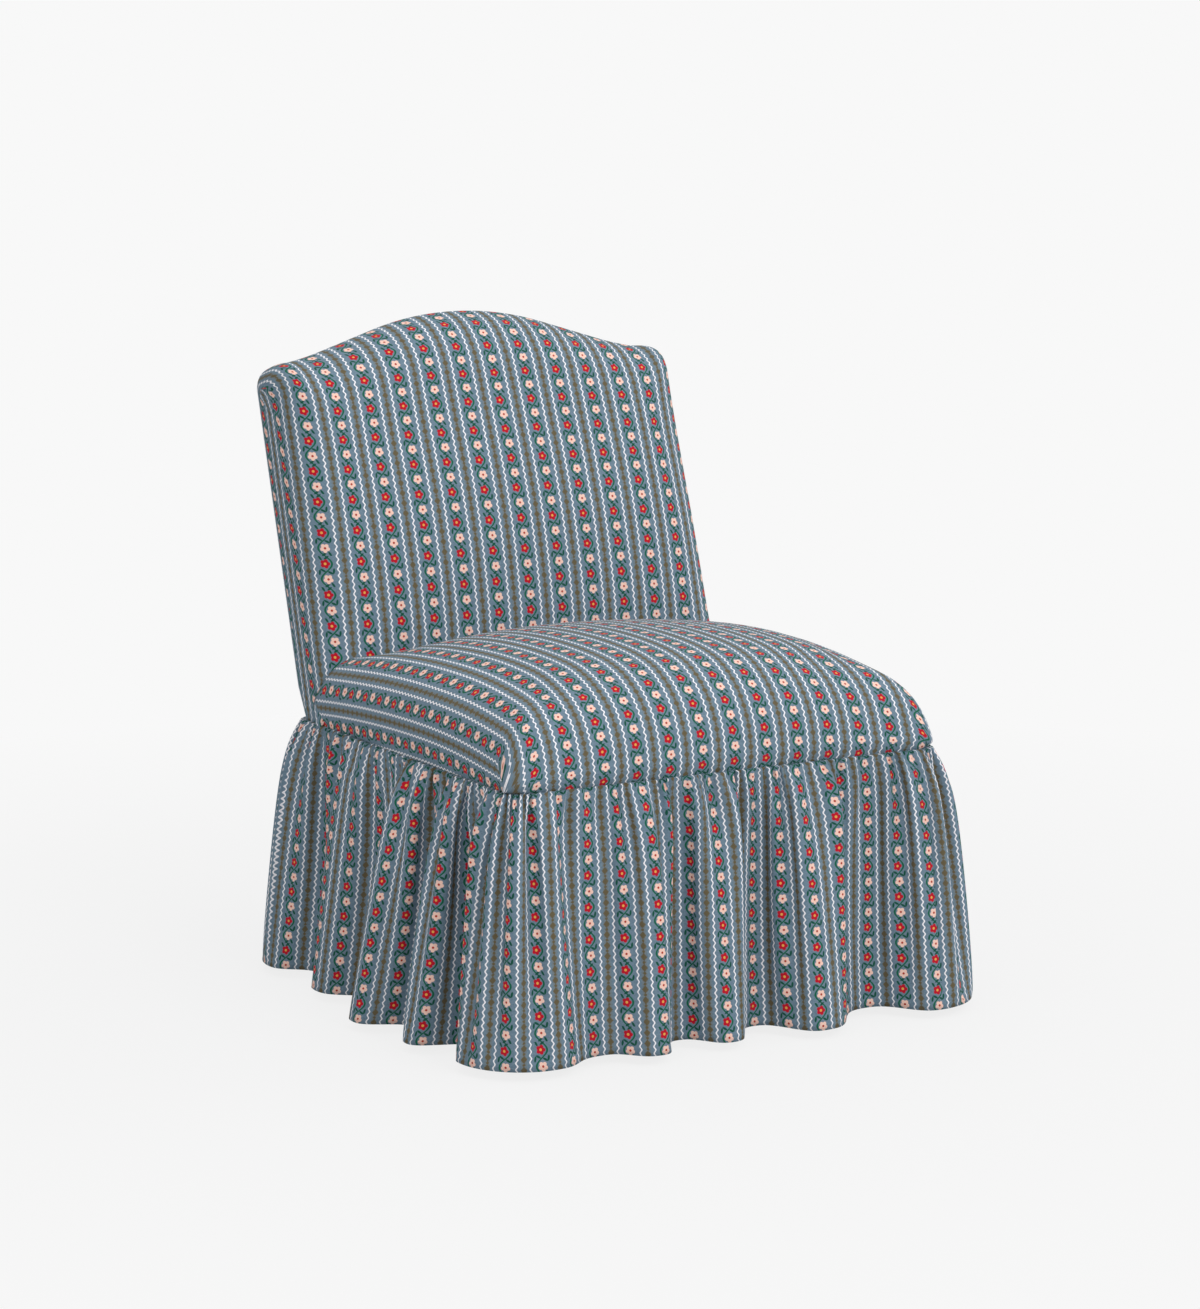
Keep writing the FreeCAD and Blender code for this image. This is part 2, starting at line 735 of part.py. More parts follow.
def back_shell():
    """The whole cover of the back, open under the rear rail and where it meets the seat deck."""
    shell = back_form(0.0, cover_bottom).cut(back_form(cover_thickness, rail_bottom - fit_gap))
    inside = half_width - cover_thickness
    y0 = back_front(0.0, rail_bottom) - 30.0
    front = box(-inside, inside, y0, rear_rail_y, rail_bottom, foam_bottom + fit_gap)
    lip_x = rail_out_x - under_lip
    rear_lip_y = rear_rail_out_y - under_lip
    under = box(-lip_x, lip_x, y0, rear_lip_y, cover_bottom - 1.0, rail_bottom)
    return cut_all(shell, [front, under] + leg_openings())


def back_webbing():
    """Upright and level straps on the front of the back frame, woven through each other."""
    low = lower_rail_start + strap_end_inset
    high = crest_rail_underside() + 40.0
    columns = spaced(back_straps, back_strap_pitch, 0.0)
    middle = (lower_rail_start + lower_rail_height + crest_rail_underside()) / 2
    rows = spaced(back_straps, 0.8 * back_strap_pitch, middle)
    x1 = rail_out_x - strap_end_inset

    def lay_upright(x, profile):
        ring = [(x, *on_slope(along, back_frame_front + level)) for along, level in profile]
        return prism(ring, (webbing_width, 0, 0))

    def lay_level(up, profile):
        ring = [(along, *on_slope(up, back_frame_front + level)) for along, level in profile]
        step = (0, webbing_width * math.sin(rake), webbing_width * math.cos(rake))
        return prism(ring, step)

    upright = woven(columns, rows, low, high, 0, lay_upright)
    level = woven(rows, columns, -x1, x1, 1, lay_level)
    return upright, level


def back_batting():
    """Thin batting over the rear of the back frame, under the rear panel."""
    x = half_width - back_side_rear_roll - 2.0
    drop = back_rear_roll + 2.0
    rear = back_frame_setback - fit_gap - batting_thickness
    return camel_outline(x, drop, 2.0, rear).extrude(slope_step(batting_thickness))


# Skirt

def fold_steps(width, depth):
    """(along, out) steps of half a fold: flat, turning, steep, turning, flat.

    A positive depth runs inwards. Only the lengths change with depth, never the directions,
    so the cloth between two levels is made of flat pieces.
    """
    turn = math.radians(fold_turn_angle)
    steep = math.radians(fold_steep_angle)
    sense = -1 if depth > 0 else 1
    depth = abs(depth)
    short = fold_turn_share * depth
    long = (depth - 2 * short * math.sin(turn)) / math.sin(steep)
    flat = (width - 2 * short * math.cos(turn) - long * math.cos(steep)) / 2
    turning = (short * math.cos(turn), sense * short * math.sin(turn))
    flank = (long * math.cos(steep), sense * long * math.sin(steep))
    return [(flat, 0.0), turning, flank, turning, (flat, 0.0)]


def side_line(side, length, share):
    """(along, out) corners of one side from its corner folds, at a share of the hem's depth."""
    widths = fold_widths[side]
    places = (skirt_hem_out,) + folds_out[side] + (skirt_hem_out,)
    line_points = []
    along = 0.0
    out = 0.0
    for i, width in enumerate(widths):
        depth = share * (places[i] - places[i + 1])
        for step_along, step_out in fold_steps(width * length / sum(widths), depth):
            along += step_along
            out += step_out
            line_points.append((along, out))
    flats = range(4, len(line_points) - 1, 5)
    return [p for i, p in enumerate(line_points[:-1]) if i not in flats]


def side_frame(side):
    """(start, direction along, direction out, length) of a side, anticlockwise from above."""
    run_x = half_width - base_corner_radius
    front = base_front_y + base_corner_radius
    rear = base_rear_y - base_corner_radius
    frames = {
        "front": ((-run_x, base_front_y), (1, 0), (0, -1), 2 * run_x),
        "right": ((half_width, front), (0, 1), (1, 0), rear - front),
        "rear": ((run_x, base_rear_y), (-1, 0), (0, 1), 2 * run_x),
        "left": ((-half_width, rear), (0, -1), (-1, 0), rear - front),
    }
    return frames[side]


def corner_arc(centre_x, centre_y, first, radius):
    """Corners of the fold that goes round a corner of the base."""
    points = []
    for i in range(corner_facets + 1):
        angle = first + math.pi / 2 * i / corner_facets
        points.append((centre_x + radius * math.cos(angle), centre_y + radius * math.sin(angle)))
    return points


def panel_line(side, out, share):
    """Middle line of a panel; the front and rear panels also go round their corners."""
    (x0, y0), (ux, uy), (nx, ny), length = side_frame(side)
    points = []
    for along, lower in side_line(side, length, share):
        away = out + lower
        points.append((x0 + ux * along + nx * away, y0 + uy * along + ny * away))
    radius = base_corner_radius + out
    x = half_width - base_corner_radius
    if side == "front":
        y = base_front_y + base_corner_radius
        before = corner_arc(-x, y, math.pi, radius)
        return before + points + corner_arc(x, y, 1.5 * math.pi, radius)
    if side == "rear":
        y = base_rear_y - base_corner_radius
        before = corner_arc(x, y, 0.0, radius)
        return before + points + corner_arc(-x, y, 0.5 * math.pi, radius)
    start = (x0 + nx * out + ux * seam_gap, y0 + ny * out + uy * seam_gap)
    reach = length - seam_gap
    end = (x0 + nx * out + ux * reach, y0 + ny * out + uy * reach)
    return [start] + points + [end]


def offset_line(points, distance):
    """The line moved to its right by distance, its corners mitred."""
    turned = []
    last = len(points) - 1
    for i, (x, y) in enumerate(points):
        ax, ay = points[max(i - 1, 0)]
        bx, by = points[min(i + 1, last)]
        before = math.atan2(y - ay, x - ax) if i > 0 else math.atan2(by - y, bx - x)
        after = math.atan2(by - y, bx - x) if i < last else before
        half = math.remainder(after - before, 2 * math.pi) / 2
        reach = distance / math.cos(half)
        turned.append((x + reach * math.sin(before + half), y - reach * math.cos(before + half)))
    return turned


def skirt_section(side, out, share, z):
    middle = panel_line(side, out, share)
    outer = offset_line(middle, skirt_thickness / 2)
    inner = offset_line(middle, -skirt_thickness / 2)
    return [Vector(x, y, z) for x, y in outer + inner[::-1]]


def skirt_panel(side):
    """Gathered panel: nearly flat at the seam, quickly out to a shoulder, folded at the hem."""
    turn_z = seam_height - skirt_turn_drop
    shoulder_z = seam_height - skirt_shoulder_drop
    levels = [
        (seam_out + gather_depth, gather_depth / deepest_fold, seam_height),
        (skirt_turn_out, turn_fold_depth / deepest_fold, turn_z),
        (skirt_shoulder_out, shoulder_fold_depth / deepest_fold, shoulder_z),
        (skirt_hem_out, 1.0, skirt_hem_height),
    ]
    return flat_loft([skirt_section(side, *level) for level in levels])


def tack_strips():
    """Card strips that hold the top edge of the skirt to the rails."""
    z1 = seam_height - 1.0
    z0 = z1 - tack_strip_height
    strips = []
    for side in ("front", "right", "rear", "left"):
        (x0, y0), (ux, uy), (nx, ny), length = side_frame(side)
        near = fit_gap
        far = fit_gap + tack_strip_thickness
        corners = [(0.0, near), (length, near), (length, far), (0.0, far)]
        plan = [(x0 + ux * a + nx * o, y0 + uy * a + ny * o, z0) for a, o in corners]
        strips.append(prism(plan, (0, 0, z1 - z0)))
    return strips


def dust_cover():
    """Black cloth that closes the underside, cut out round the legs."""
    x = rail_out_x - 4.0
    z1 = cover_bottom - fit_gap
    z0 = z1 - dust_cover_thickness
    sheet = box(-x, x, front_rail_y + 4.0, rear_rail_out_y - 4.0, z0, z1)
    a = leg_in_x - 2.0
    b = post_in_x - 2.0
    front = box(a, x + 1.0, front_rail_y, leg_back_y + 2.0, z0, z1)
    rear = box(b, x + 1.0, post_front_y - 2.0, base_rear_y, z0, z1)
    return cut_all(sheet, both_sides(front) + both_sides(rear))


def save(name, *solids):
    shape = solids[0] if len(solids) == 1 else Part.makeCompound(list(solids))
    shape.exportStep("parts/" + name + ".step")
    total = sum(s.Volume for s in shape.Solids)
    print(f"{name}: {len(shape.Solids)} solids, {total / 1000:.1f} cm3, valid {shape.isValid()}")


def save_pair(name, right):
    save("right_" + name, right)
    save("left_" + name, mirrored(right))


def main():
    os.makedirs("parts", exist_ok=True)
    save("front_seat_rail", front_rail())
    save("rear_seat_rail", rear_rail())
    save_pair("seat_rail", side_rail())
    save_pair("front_leg", front_leg())
    save_pair("back_post", post())
    save("crest_rail", crest_rail())
    save("lower_back_rail", lower_back_rail())
    save("corner_blocks", *corner_blocks())
    save("foot_glides", *foot_glides())
    lengthwise, crosswise = seat_webbing()
    save("seat_webbing_lengthwise", *lengthwise)
    save("seat_webbing_crosswise", *crosswise)
    upright, level = back_webbing()
    save("back_webbing_upright", *upright)
    save("back_webbing_level", *level)
    save("seat_hessian", seat_hessian())
    save("seat_foam", seat_foam())
    save("rail_batting", *rail_batting())
    save("seat_cover", seat_cover())
    save("back_foam", back_foam())
    save("back_batting", back_batting())
    shell = back_shell()
    save("inside_back_cover", shell.cut(rear_panel_tool(seam_gap)))
    save("outside_back_cover", shell.common(rear_panel_tool(0.0)))
    for side in ("front", "right", "rear", "left"):
        save("skirt_" + side, skirt_panel(side))
    save("skirt_tack_strips", *tack_strips())
    save("dust_cover", dust_cover())


main()
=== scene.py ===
"""Dresses the slipper chair: printed cotton over the seat and the back, and a gathered skirt.

Metres, +Z up, the front faces -Y, the origin is on the floor under the middle of the chair.
"""

import math

import bmesh
import bpy
import numpy as np
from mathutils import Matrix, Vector


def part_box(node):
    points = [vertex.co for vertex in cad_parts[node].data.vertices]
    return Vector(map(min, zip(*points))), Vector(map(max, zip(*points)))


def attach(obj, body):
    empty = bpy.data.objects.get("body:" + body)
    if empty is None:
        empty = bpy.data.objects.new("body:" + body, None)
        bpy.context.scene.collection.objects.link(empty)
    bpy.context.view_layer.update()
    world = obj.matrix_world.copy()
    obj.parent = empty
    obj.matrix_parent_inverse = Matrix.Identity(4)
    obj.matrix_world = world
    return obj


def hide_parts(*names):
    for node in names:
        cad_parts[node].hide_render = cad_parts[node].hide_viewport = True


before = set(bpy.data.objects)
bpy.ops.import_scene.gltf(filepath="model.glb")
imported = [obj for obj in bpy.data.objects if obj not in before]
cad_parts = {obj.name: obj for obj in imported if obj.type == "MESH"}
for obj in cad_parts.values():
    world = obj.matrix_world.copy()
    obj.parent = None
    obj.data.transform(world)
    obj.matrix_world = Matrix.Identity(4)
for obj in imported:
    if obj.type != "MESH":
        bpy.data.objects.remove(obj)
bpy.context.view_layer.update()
scene = bpy.context.scene

# Fabric base
half_width = 0.310
base_front_y = -0.344
base_rear_y = 0.256
seam_height = 0.343
base_bottom = 0.2514
corner_radius = 0.024
side_roll = 0.042
lip_widths = (0.007, 0.024)  # cover turned in under the rails
lip_clearance = 0.0004
leg_clearance = 0.0035
base_wall_rows = 5

# Seat form
seat_peak_height = 0.478
seat_peak_y = base_front_y + 0.230
crown_radius = 1.415
cross_radius = 1.500
seat_side_roll = 0.070
side_lift = 0.5  # how far the side's edge keeps from falling with the crown
side_lift_width = 0.112  # strip along the edge that is lifted
front_roll = 0.095
roll_easing = 0.72
front_bulge = 0.008
side_bulge = 0.005
side_bulge_start = 0.15  # place across where the seat begins to widen
tuck_gap = 0.001
tuck_depth = 0.045
corner_cloth = 0.309  # cloth from the middle of the front to the corner seam
roll_cloth = 0.95  # cloth drawn over the side roll, against its length
seat_wall_rows, seat_roll_rows, seat_crown_rows, seat_tuck_rows = 9, 18, 56, 5
seat_peak_row = 43

# Back form, measured up the slope of the back and forward from its rear face
rake = math.radians(16.9)
rake_foot_y = base_rear_y + 0.024
rake_foot_z = seam_height + 0.038
back_thickness = 0.110
back_bulge = 0.014
back_front_roll = 0.075
back_rear_roll = 0.024
back_front_easing = 0.046
back_rear_easing = 0.012
back_side_rear_roll = 0.024
shoulder_roll = 0.028
back_seam_inset = 0.028
back_seam_dip = 0.012  # of the rear seam at the shoulders
seam_snap = 0.0035  # places across this close to the rear seam move on to it
back_foot_rows, back_face_rows, back_roll_rows, back_top_rows, back_margin_rows = 4, 31, 12, 8, 2

# Camel line
crest_height = 0.874
crest_radius = 0.440
crest_arc_half = 0.130
crest_slope_half = 0.215
shoulder_half = 0.290
shoulder_slope = 0.12

# Skirt: its top edge stands out on the gathers, puffs out and then flares to the hem
hem_height = 0.012
skirt_drop = seam_height - hem_height
skirt_seam_out = 0.0052
skirt_puff = 0.018
skirt_puff_drop = 0.045
skirt_flare = 0.124
seam_fold_share = 0.03
fold_growth_drop = 0.120
fold_steepness = 0.4
corner_share = 0.08  # of a side's columns, each half corner
cloth_follows_folds = 0.5
middle_gather = 0.055  # cloth in one wave of each set
small_gather = 0.017
small_gather_drop = 0.030
closest_to_base = 0.0026
skirt_tuck = (0.004, 0.0012)  # top edge turned in and up behind the seam
skirt_cloth = 0.0009
skirt_columns = 660
skirt_rows = 60
skirt_cut_share = 0.06

# Widths of the half folds and places out of the hem at their ends, between corners
skirt_folds = {
    "front": ((81, 67, 50, 58, 60, 70, 105, 81), (0.036, 0.072, 0.022, 0.064, 0.012, 0.074, 0.008)),
    "right": ((62, 70, 58, 66, 74, 80, 68, 74), (0.018, 0.082, 0.030, 0.074, 0.016, 0.092, 0.026)),
    "rear": ((78, 66, 60, 74, 82, 64, 76, 72), (0.024, 0.078, 0.014, 0.084, 0.028, 0.072, 0.018)),
    "left": ((71, 80, 80, 83, 67, 60, 57, 54), (0.022, 0.066, 0.020, 0.092, 0.035, 0.080, 0.010)),
}

# Cloth of a broad fold that leans along its side: middle, half width and lean, as shares of the side
skirt_leans = {
    "front": (0.35, 0.3, 0.02),
    "right": (0.5, 0.4, 0.02),
    "rear": (0.6, 0.3, -0.02),
    "left": (0.55, 0.4, 0.07),
}

# Where the legs and the posts pass the cover's lip: from and to across, then along
leg_places = [
    (x0 - leg_clearance, x1 + leg_clearance, y0 - leg_clearance, y1 + leg_clearance)
    for x0, x1, y0, y1 in ((0.253, 0.298, -0.332, -0.287), (0.266, 0.298, 0.196, 0.248))
]

# Print
stripe_period = 0.0470
stripe_shift = 0.005  # of the flowers from the middle of the chair
flower_pitch = 0.0402
back_print_scale = 1.05
print_edge = 0.0004  # softness of the print's edges
wavy_line_place = 0.0088  # from the middle of the olive chain
wavy_line_half = 0.00096
ripple_pitch = 0.0084
ripple_swing = 0.0011
link_half_width = 0.0042
link_half_length = 0.0052
bead_radius = 0.0018
vine_swing = 0.0072
vine_half = 0.00125
blossom_size = 0.0060
blossom_shift = 0.0010
thread_pitch = 0.0011
leaf_long, leaf_wide = 0.0036, 0.0014

# Leaves in one repeat: place across and along, and slant in degrees
leaf_spots = (
    (0.0046, -0.0016, 150), (-0.0044, 0.0016, 150), (0.0086, 0.0004, 80), (-0.0086, -0.0010, 80),
    (0.0012, 0.0182, 40), (-0.0066, 0.0176, 120), (0.0064, -0.0176, 120), (-0.0010, -0.0182, 40),
)

# Cloth
cloth_thickness = 0.0012
swelling_cloth = {
    "quality": 5, "mass": 0.3, "tension_stiffness": 25.0, "compression_stiffness": 25.0,
    "shear_stiffness": 8.0, "bending_stiffness": 1.2, "use_pressure": True, "uniform_pressure_force": 4.0,
}
swelling_frames = 20
held_levels = 10
smoothing_rounds = 60
dust_cloth_sag = 0.005


# Forms

def round_off(x, radius):
    """How far an edge rounded towards the sides has fallen back at x: a quarter circle."""
    over = np.clip(np.abs(x) - (half_width - radius), 0.0, radius)
    return radius - np.sqrt(radius ** 2 - over ** 2)


def crest_z(x):
    """Camel line of the top: an arc, a straight slope and a hollow that eases into the shoulder."""
    x = np.abs(x)
    apex = np.minimum(x, crest_arc_half)
    height = crest_height - crest_radius + np.sqrt(crest_radius ** 2 - apex ** 2)
    slope = crest_arc_half / math.sqrt(crest_radius ** 2 - crest_arc_half ** 2)
    height -= slope * np.maximum(0.0, np.minimum(x, crest_slope_half) - crest_arc_half)
    hollow = np.maximum(0.0, np.minimum(x, shoulder_half) - crest_slope_half)
    ease = (slope - shoulder_slope) / (shoulder_half - crest_slope_half) / 2
    height -= slope * hollow - ease * hollow ** 2
    return height - shoulder_slope * np.maximum(0.0, x - shoulder_half)


def crest_up(x):
    """The camel line, measured up the slope."""
    highest = back_thickness - back_front_roll
    lift = rake_foot_z + highest * math.sin(rake) - back_front_roll * math.cos(rake)
    return (crest_z(x) - lift - back_front_roll) / math.cos(rake)


def grid_of(*parts):
    """Points of a grid from their coordinates."""
    return np.stack(np.broadcast_arrays(*parts), axis=-1)


def joined(*parts):
    """Rows or lengths one after another."""
    return np.concatenate(parts)


def shares(count):
    """Even shares down a column, from just after 0 to 1."""
    return np.linspace(0.0, 1.0, count + 1)[1:, None]


def on_slope(x, up, forward):
    """Points given across, up the slope of the back and forward from its rear face."""
    y = rake_foot_y + up * math.sin(rake) - forward * math.cos(rake)
    z = rake_foot_z + up * math.cos(rake) + forward * math.sin(rake)
    return grid_of(x, y, z)


def back_bow(x):
    """How far the front of the back bows out at x."""
    return back_bulge * (1 - 0.9 * (x / half_width) ** 2)


def back_front_y(x, z):
    """y of the front of the back at x and z: the rake line moved forward by the bowed padding."""
    flat = back_thickness - round_off(x, side_roll)
    low = -math.tan(rake) * flat
    high = crest_up(x) - round_off(x, shoulder_roll) - back_front_roll
    forward = flat
    for _ in range(6):
        up = (z - rake_foot_z - forward * math.sin(rake)) / math.cos(rake)
        share = np.clip((2 * up - low - high) / (high - low), -1, 1)
        forward = flat + back_bow(x) * np.cos(share * math.pi / 2) ** 2
    return rake_foot_y + up * math.sin(rake) - forward * math.cos(rake)


def across_stations(middle_count, roll_count, roll):
    """Places across the width: even, then by equal angles of the side roll."""
    edge = half_width - roll
    inner = np.linspace(0.0, edge, middle_count + 1)[:-1]
    x = joined(inner, edge + roll * np.sin(np.linspace(0.0, math.pi / 2, roll_count + 1)))
    return joined(-x[:0:-1], x)


def cloth_across(x, roll):
    """Cloth from the middle to places across: as long as the place is far, then round the side roll."""
    edge = half_width - roll
    over = np.clip((np.abs(x) - edge) / roll, 0, 1)
    return np.where(over > 0, np.sign(x) * (edge + roll * np.arcsin(over)), x)


def run_lengths(points):
    """Cloth length down each column of a grid of points, from its first row."""
    steps = np.linalg.norm(np.diff(points, axis=0), axis=-1)
    return joined(np.zeros((1, points.shape[1])), np.cumsum(steps, axis=0))


def smooth_step(value, low, high):
    """0 below low, 1 above high, eased between."""
    share = np.clip((value - low) / (high - low), 0, 1)
    return share * share * (3 - 2 * share)


def outward(x, radius, facing):
    """Directions out from the base round corners of this radius. facing is -1 in front, 1 behind."""
    turn = np.arcsin(np.clip((np.abs(x) - half_width + radius) / radius, 0, 1))
    return grid_of(np.sign(x) * np.sin(turn), facing * np.cos(turn), 0)


# Meshes

class Patch:
    """A grid of points with its cloth coordinates, in metres across and along the stripes."""

    def __init__(self, points, cloth, keep=None):
        self.points = points
        self.cloth = cloth
        self.keep = np.ones((len(points) - 1, points.shape[1] - 1), bool) if keep is None else keep

    def quads(self):
        """Corner numbers of each cell that is kept, row by row."""
        rows, columns = self.points.shape[:2]
        number = np.arange(rows * columns).reshape(rows, columns)
        return grid_of(number[:-1, :-1], number[:-1, 1:], number[1:, 1:], number[1:, :-1])[self.keep]

    def facing(self, towards):
        """The same patch with its cells turned to face towards, summed over the patch."""
        p = self.points
        across = p[:-1, 1:] - p[:-1, :-1]
        along = p[1:, :-1] - p[:-1, :-1]
        if np.sum(np.cross(across, along) @ np.array(towards)) < 0:
            return Patch(p[::-1], self.cloth[::-1], self.keep[::-1])
        return self


def set_material(mesh, material):
    """The mesh's only material."""
    mesh.materials.clear()
    mesh.materials.append(material)


def add_object(name, data):
    """An object of the scene, at the origin."""
    made = bpy.data.objects.new(name, data)
    scene.collection.objects.link(made)
    return made


def make_mesh(name, patches, weld=2e-5):
    """A mesh of patches, welded where their edges meet, with the cloth coordinates in a UV map."""
    points = joined(*(p.points.reshape(-1, 3) for p in patches))
    cloth = joined(*(p.cloth.reshape(-1, 2) for p in patches))
    starts = np.cumsum([0] + [p.points.shape[0] * p.points.shape[1] for p in patches[:-1]])
    quads = joined(*(p.quads() + start for p, start in zip(patches, starts)))
    mesh = bpy.data.meshes.new(name)
    mesh.from_pydata(points.tolist(), [], quads.tolist())
    layer = mesh.uv_layers.new(name="cloth")
    layer.data.foreach_set("uv", cloth[quads.ravel()].ravel().astype(np.float32))
    mesh.polygons.foreach_set("use_smooth", np.ones(len(quads), bool))
    work = bmesh.new()
    work.from_mesh(mesh)
    bmesh.ops.remove_doubles(work, verts=work.verts, dist=weld)
    bmesh.ops.dissolve_degenerate(work, edges=work.edges, dist=1e-6)
    work.to_mesh(mesh)
    work.free()
    mesh.update()
    return mesh


def add_piece(name, mesh, material, replaced, thickness=cloth_thickness, reverse=None):
    """A piece of the chair with its material and its cloth thickness, in place of the parts that it replaces,
    which are hidden.
    """
    piece = add_object(name, mesh)
    set_material(mesh, material)
    wall = piece.modifiers.new("cloth_thickness", "SOLIDIFY")
    wall.thickness = thickness
    wall.offset = -1.0
    if reverse:
        mesh.materials.append(reverse)
        wall.material_offset = 1
    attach(piece, "root")
    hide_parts(*replaced)
    return piece


# Seat

def seat_drop(x):
    """Fall of the seat from its middle line: a crown arc that runs into a side roll."""
    edge = half_width - seat_side_roll
    reach = cross_radius - seat_side_roll
    join = edge * cross_radius / reach
    crown = cross_radius - np.sqrt(cross_radius ** 2 - np.minimum(np.abs(x), join) ** 2)
    centre_drop = cross_radius - math.sqrt(reach ** 2 - edge ** 2)
    over = np.clip(np.abs(x) - edge, 0.0, seat_side_roll)
    roll = centre_drop - np.sqrt(seat_side_roll ** 2 - over ** 2)
    return np.where(np.abs(x) <= join, crown, roll)


def below_seam(line, normal):
    """Rows of points from the inner edge of the lip out to the base and up to the seam.

    line holds the points of the seam and normal their outward directions.
    """
    low = base_bottom - seam_height
    rows = [line - width * normal + (0, 0, low - lip_clearance) for width in lip_widths[::-1]]
    rows += [line + (0, 0, drop) for drop in np.linspace(low, 0.0, base_wall_rows + 1)[:-1]]
    return np.stack(rows)


def clear_of_legs(points):
    """Which cells of a grid of points keep clear of the legs and the posts."""
    centre = (points[:-1, :-1] + points[:-1, 1:] + points[1:, 1:] + points[1:, :-1]) / 4
    x, y, z = np.abs(centre[..., 0]), centre[..., 1], centre[..., 2]
    inner = (x < half_width - lip_widths[0]) & (z < base_bottom)
    inner &= (y > base_front_y + lip_widths[0]) & (y < base_rear_y - lip_widths[0])
    keep = np.ones(x.shape, bool)
    for x0, x1, y0, y1 in leg_places:
        keep &= ~(inner & (x > x0) & (x < x1) & (y > y0) & (y < y1))
    return keep


def seat_lines():
    """Lines from front to rear over the seat, at places across.

    Each is a wall that leans out over the skirt seam, a quarter roll, a crown arc, and a tuck
    that runs down in front of the back. Gives the places across, the points, and the height of
    each crown arc's centre.
    """
    x = across_stations(44, 12, seat_side_roll)
    drop = seat_drop(x)
    front = base_front_y - front_bulge + round_off(x, corner_radius)
    roll = front_roll - roll_easing * drop
    centre_z = seat_peak_height - drop - crown_radius
    roll_y = front + roll
    roll_z = centre_z + np.sqrt((crown_radius - roll) ** 2 - (roll_y - seat_peak_y) ** 2)
    lean = np.arcsin((seat_peak_y - roll_y) / (crown_radius - roll))

    wall_share = np.linspace(0.0, 1.0, seat_wall_rows)[:, None]
    wall_out = np.sin(wall_share * math.pi / 2)
    wall_y = front + front_bulge * (1 - wall_out)
    wall_z = seam_height + (roll_z - seam_height) * wall_share
    angle = (math.pi / 2 - lean) * shares(seat_roll_rows)
    roll_line_y = roll_y - roll * np.cos(angle)
    roll_line_z = roll_z + roll * np.sin(angle)

    # The crown arc meets the back where both have one height, found step by step
    rear_y = np.full_like(x, base_rear_y - back_thickness)
    lift = side_lift * smooth_step(np.abs(x), half_width - side_lift_width, half_width)
    for _ in range(30):
        fall = crown_radius - np.sqrt(crown_radius ** 2 - (rear_y - seat_peak_y) ** 2)
        rear_z = centre_z + crown_radius - fall * (1 - lift)
        rear_y = back_front_y(x, rear_z) - tuck_gap
    rear_turn = np.arcsin((rear_y - seat_peak_y) / crown_radius)
    turn = -lean + (rear_turn + lean) * shares(seat_crown_rows)
    crown_y = seat_peak_y + crown_radius * np.sin(turn)
    crown_fall = crown_radius * (1 - np.cos(turn))
    crown_z = centre_z + crown_radius - crown_fall * (1 - lift * (turn > 0))
    tuck_z = rear_z - tuck_depth * shares(seat_tuck_rows)
    tuck_y = back_front_y(x, tuck_z) - tuck_gap

    y = joined(wall_y, roll_line_y, crown_y, tuck_y)
    z = joined(wall_z, roll_line_z, crown_z, tuck_z)
    swell = joined(wall_out, np.ones((len(y) - seat_wall_rows, 1)))
    wide = x + np.sign(x) * side_bulge * smooth_step(np.abs(x), side_bulge_start, half_width) * swell
    return x, grid_of(wide, y, z), centre_z


def seat_cloth(x, points):
    """Cloth coordinates of the seat's lines: even over the crown, and drawn in round the front corners."""
    length = run_lengths(points)
    along = length - length[seat_peak_row] + points[seat_peak_row, :, 1] - seat_peak_y
    edge = half_width - seat_side_roll
    across = cloth_across(x, seat_side_roll)
    over_roll = np.sign(x) * (edge + roll_cloth * (np.abs(across) - edge))
    round_corner = np.sign(x) * (edge + (np.abs(x) - edge) * (corner_cloth - edge) / seat_side_roll)
    crown_row = seat_wall_rows + seat_roll_rows - 1
    on_crown = smooth_step(np.arange(len(points)), seat_wall_rows - 1, crown_row)[:, None]
    on_sides = over_roll * on_crown + round_corner * (1 - on_crown)
    return grid_of(np.where(np.abs(across) <= edge, across, on_sides), along)


def seat_side(edge_line, centre_z, sign, side_across):
    """One side of the seat. It hangs from the seat's edge line and leans back in to the seam."""
    share = np.linspace(1.0, 0.0, seat_wall_rows)
    out = np.sin(share * math.pi / 2)
    low_first = base_front_y + corner_radius
    low_last = back_front_y(np.array([half_width]), np.array([seam_height]))[0] - tuck_gap
    edge_y, edge_z = edge_line[:, 1:2], edge_line[:, 2:]
    low_y = low_first + (edge_y - edge_y[0]) * (low_last - low_first) / (edge_y[-1] - edge_y[0])
    y = low_y + (edge_y - low_y) * out
    z = seam_height + (edge_z - seam_height) * share
    side = grid_of(sign * (half_width + side_bulge * out), y, z)
    bottom = below_seam(side[:, -1], np.array([sign, 0, 0]))[::-1].transpose(1, 0, 2)
    side = np.concatenate([side, bottom], axis=1)

    crown_edge = centre_z + np.sqrt(crown_radius ** 2 - (edge_y - seat_peak_y) ** 2)
    lifted = crown_edge + (centre_z + crown_radius - crown_edge) * side_lift
    crown_edge = np.where(edge_y > seat_peak_y, lifted, crown_edge)
    in_lip = side[..., 2] < base_bottom
    lip = np.abs(side[:, -1:, 0] - side[..., 0]) * in_lip
    down = crown_edge - side[..., 2] + np.max(lip, axis=1, keepdims=True) * in_lip - lip
    cloth = grid_of(sign * (side_across + down), side[..., 1] - seat_peak_y)
    return Patch(side, cloth, clear_of_legs(side)).facing((sign, 0, 0))


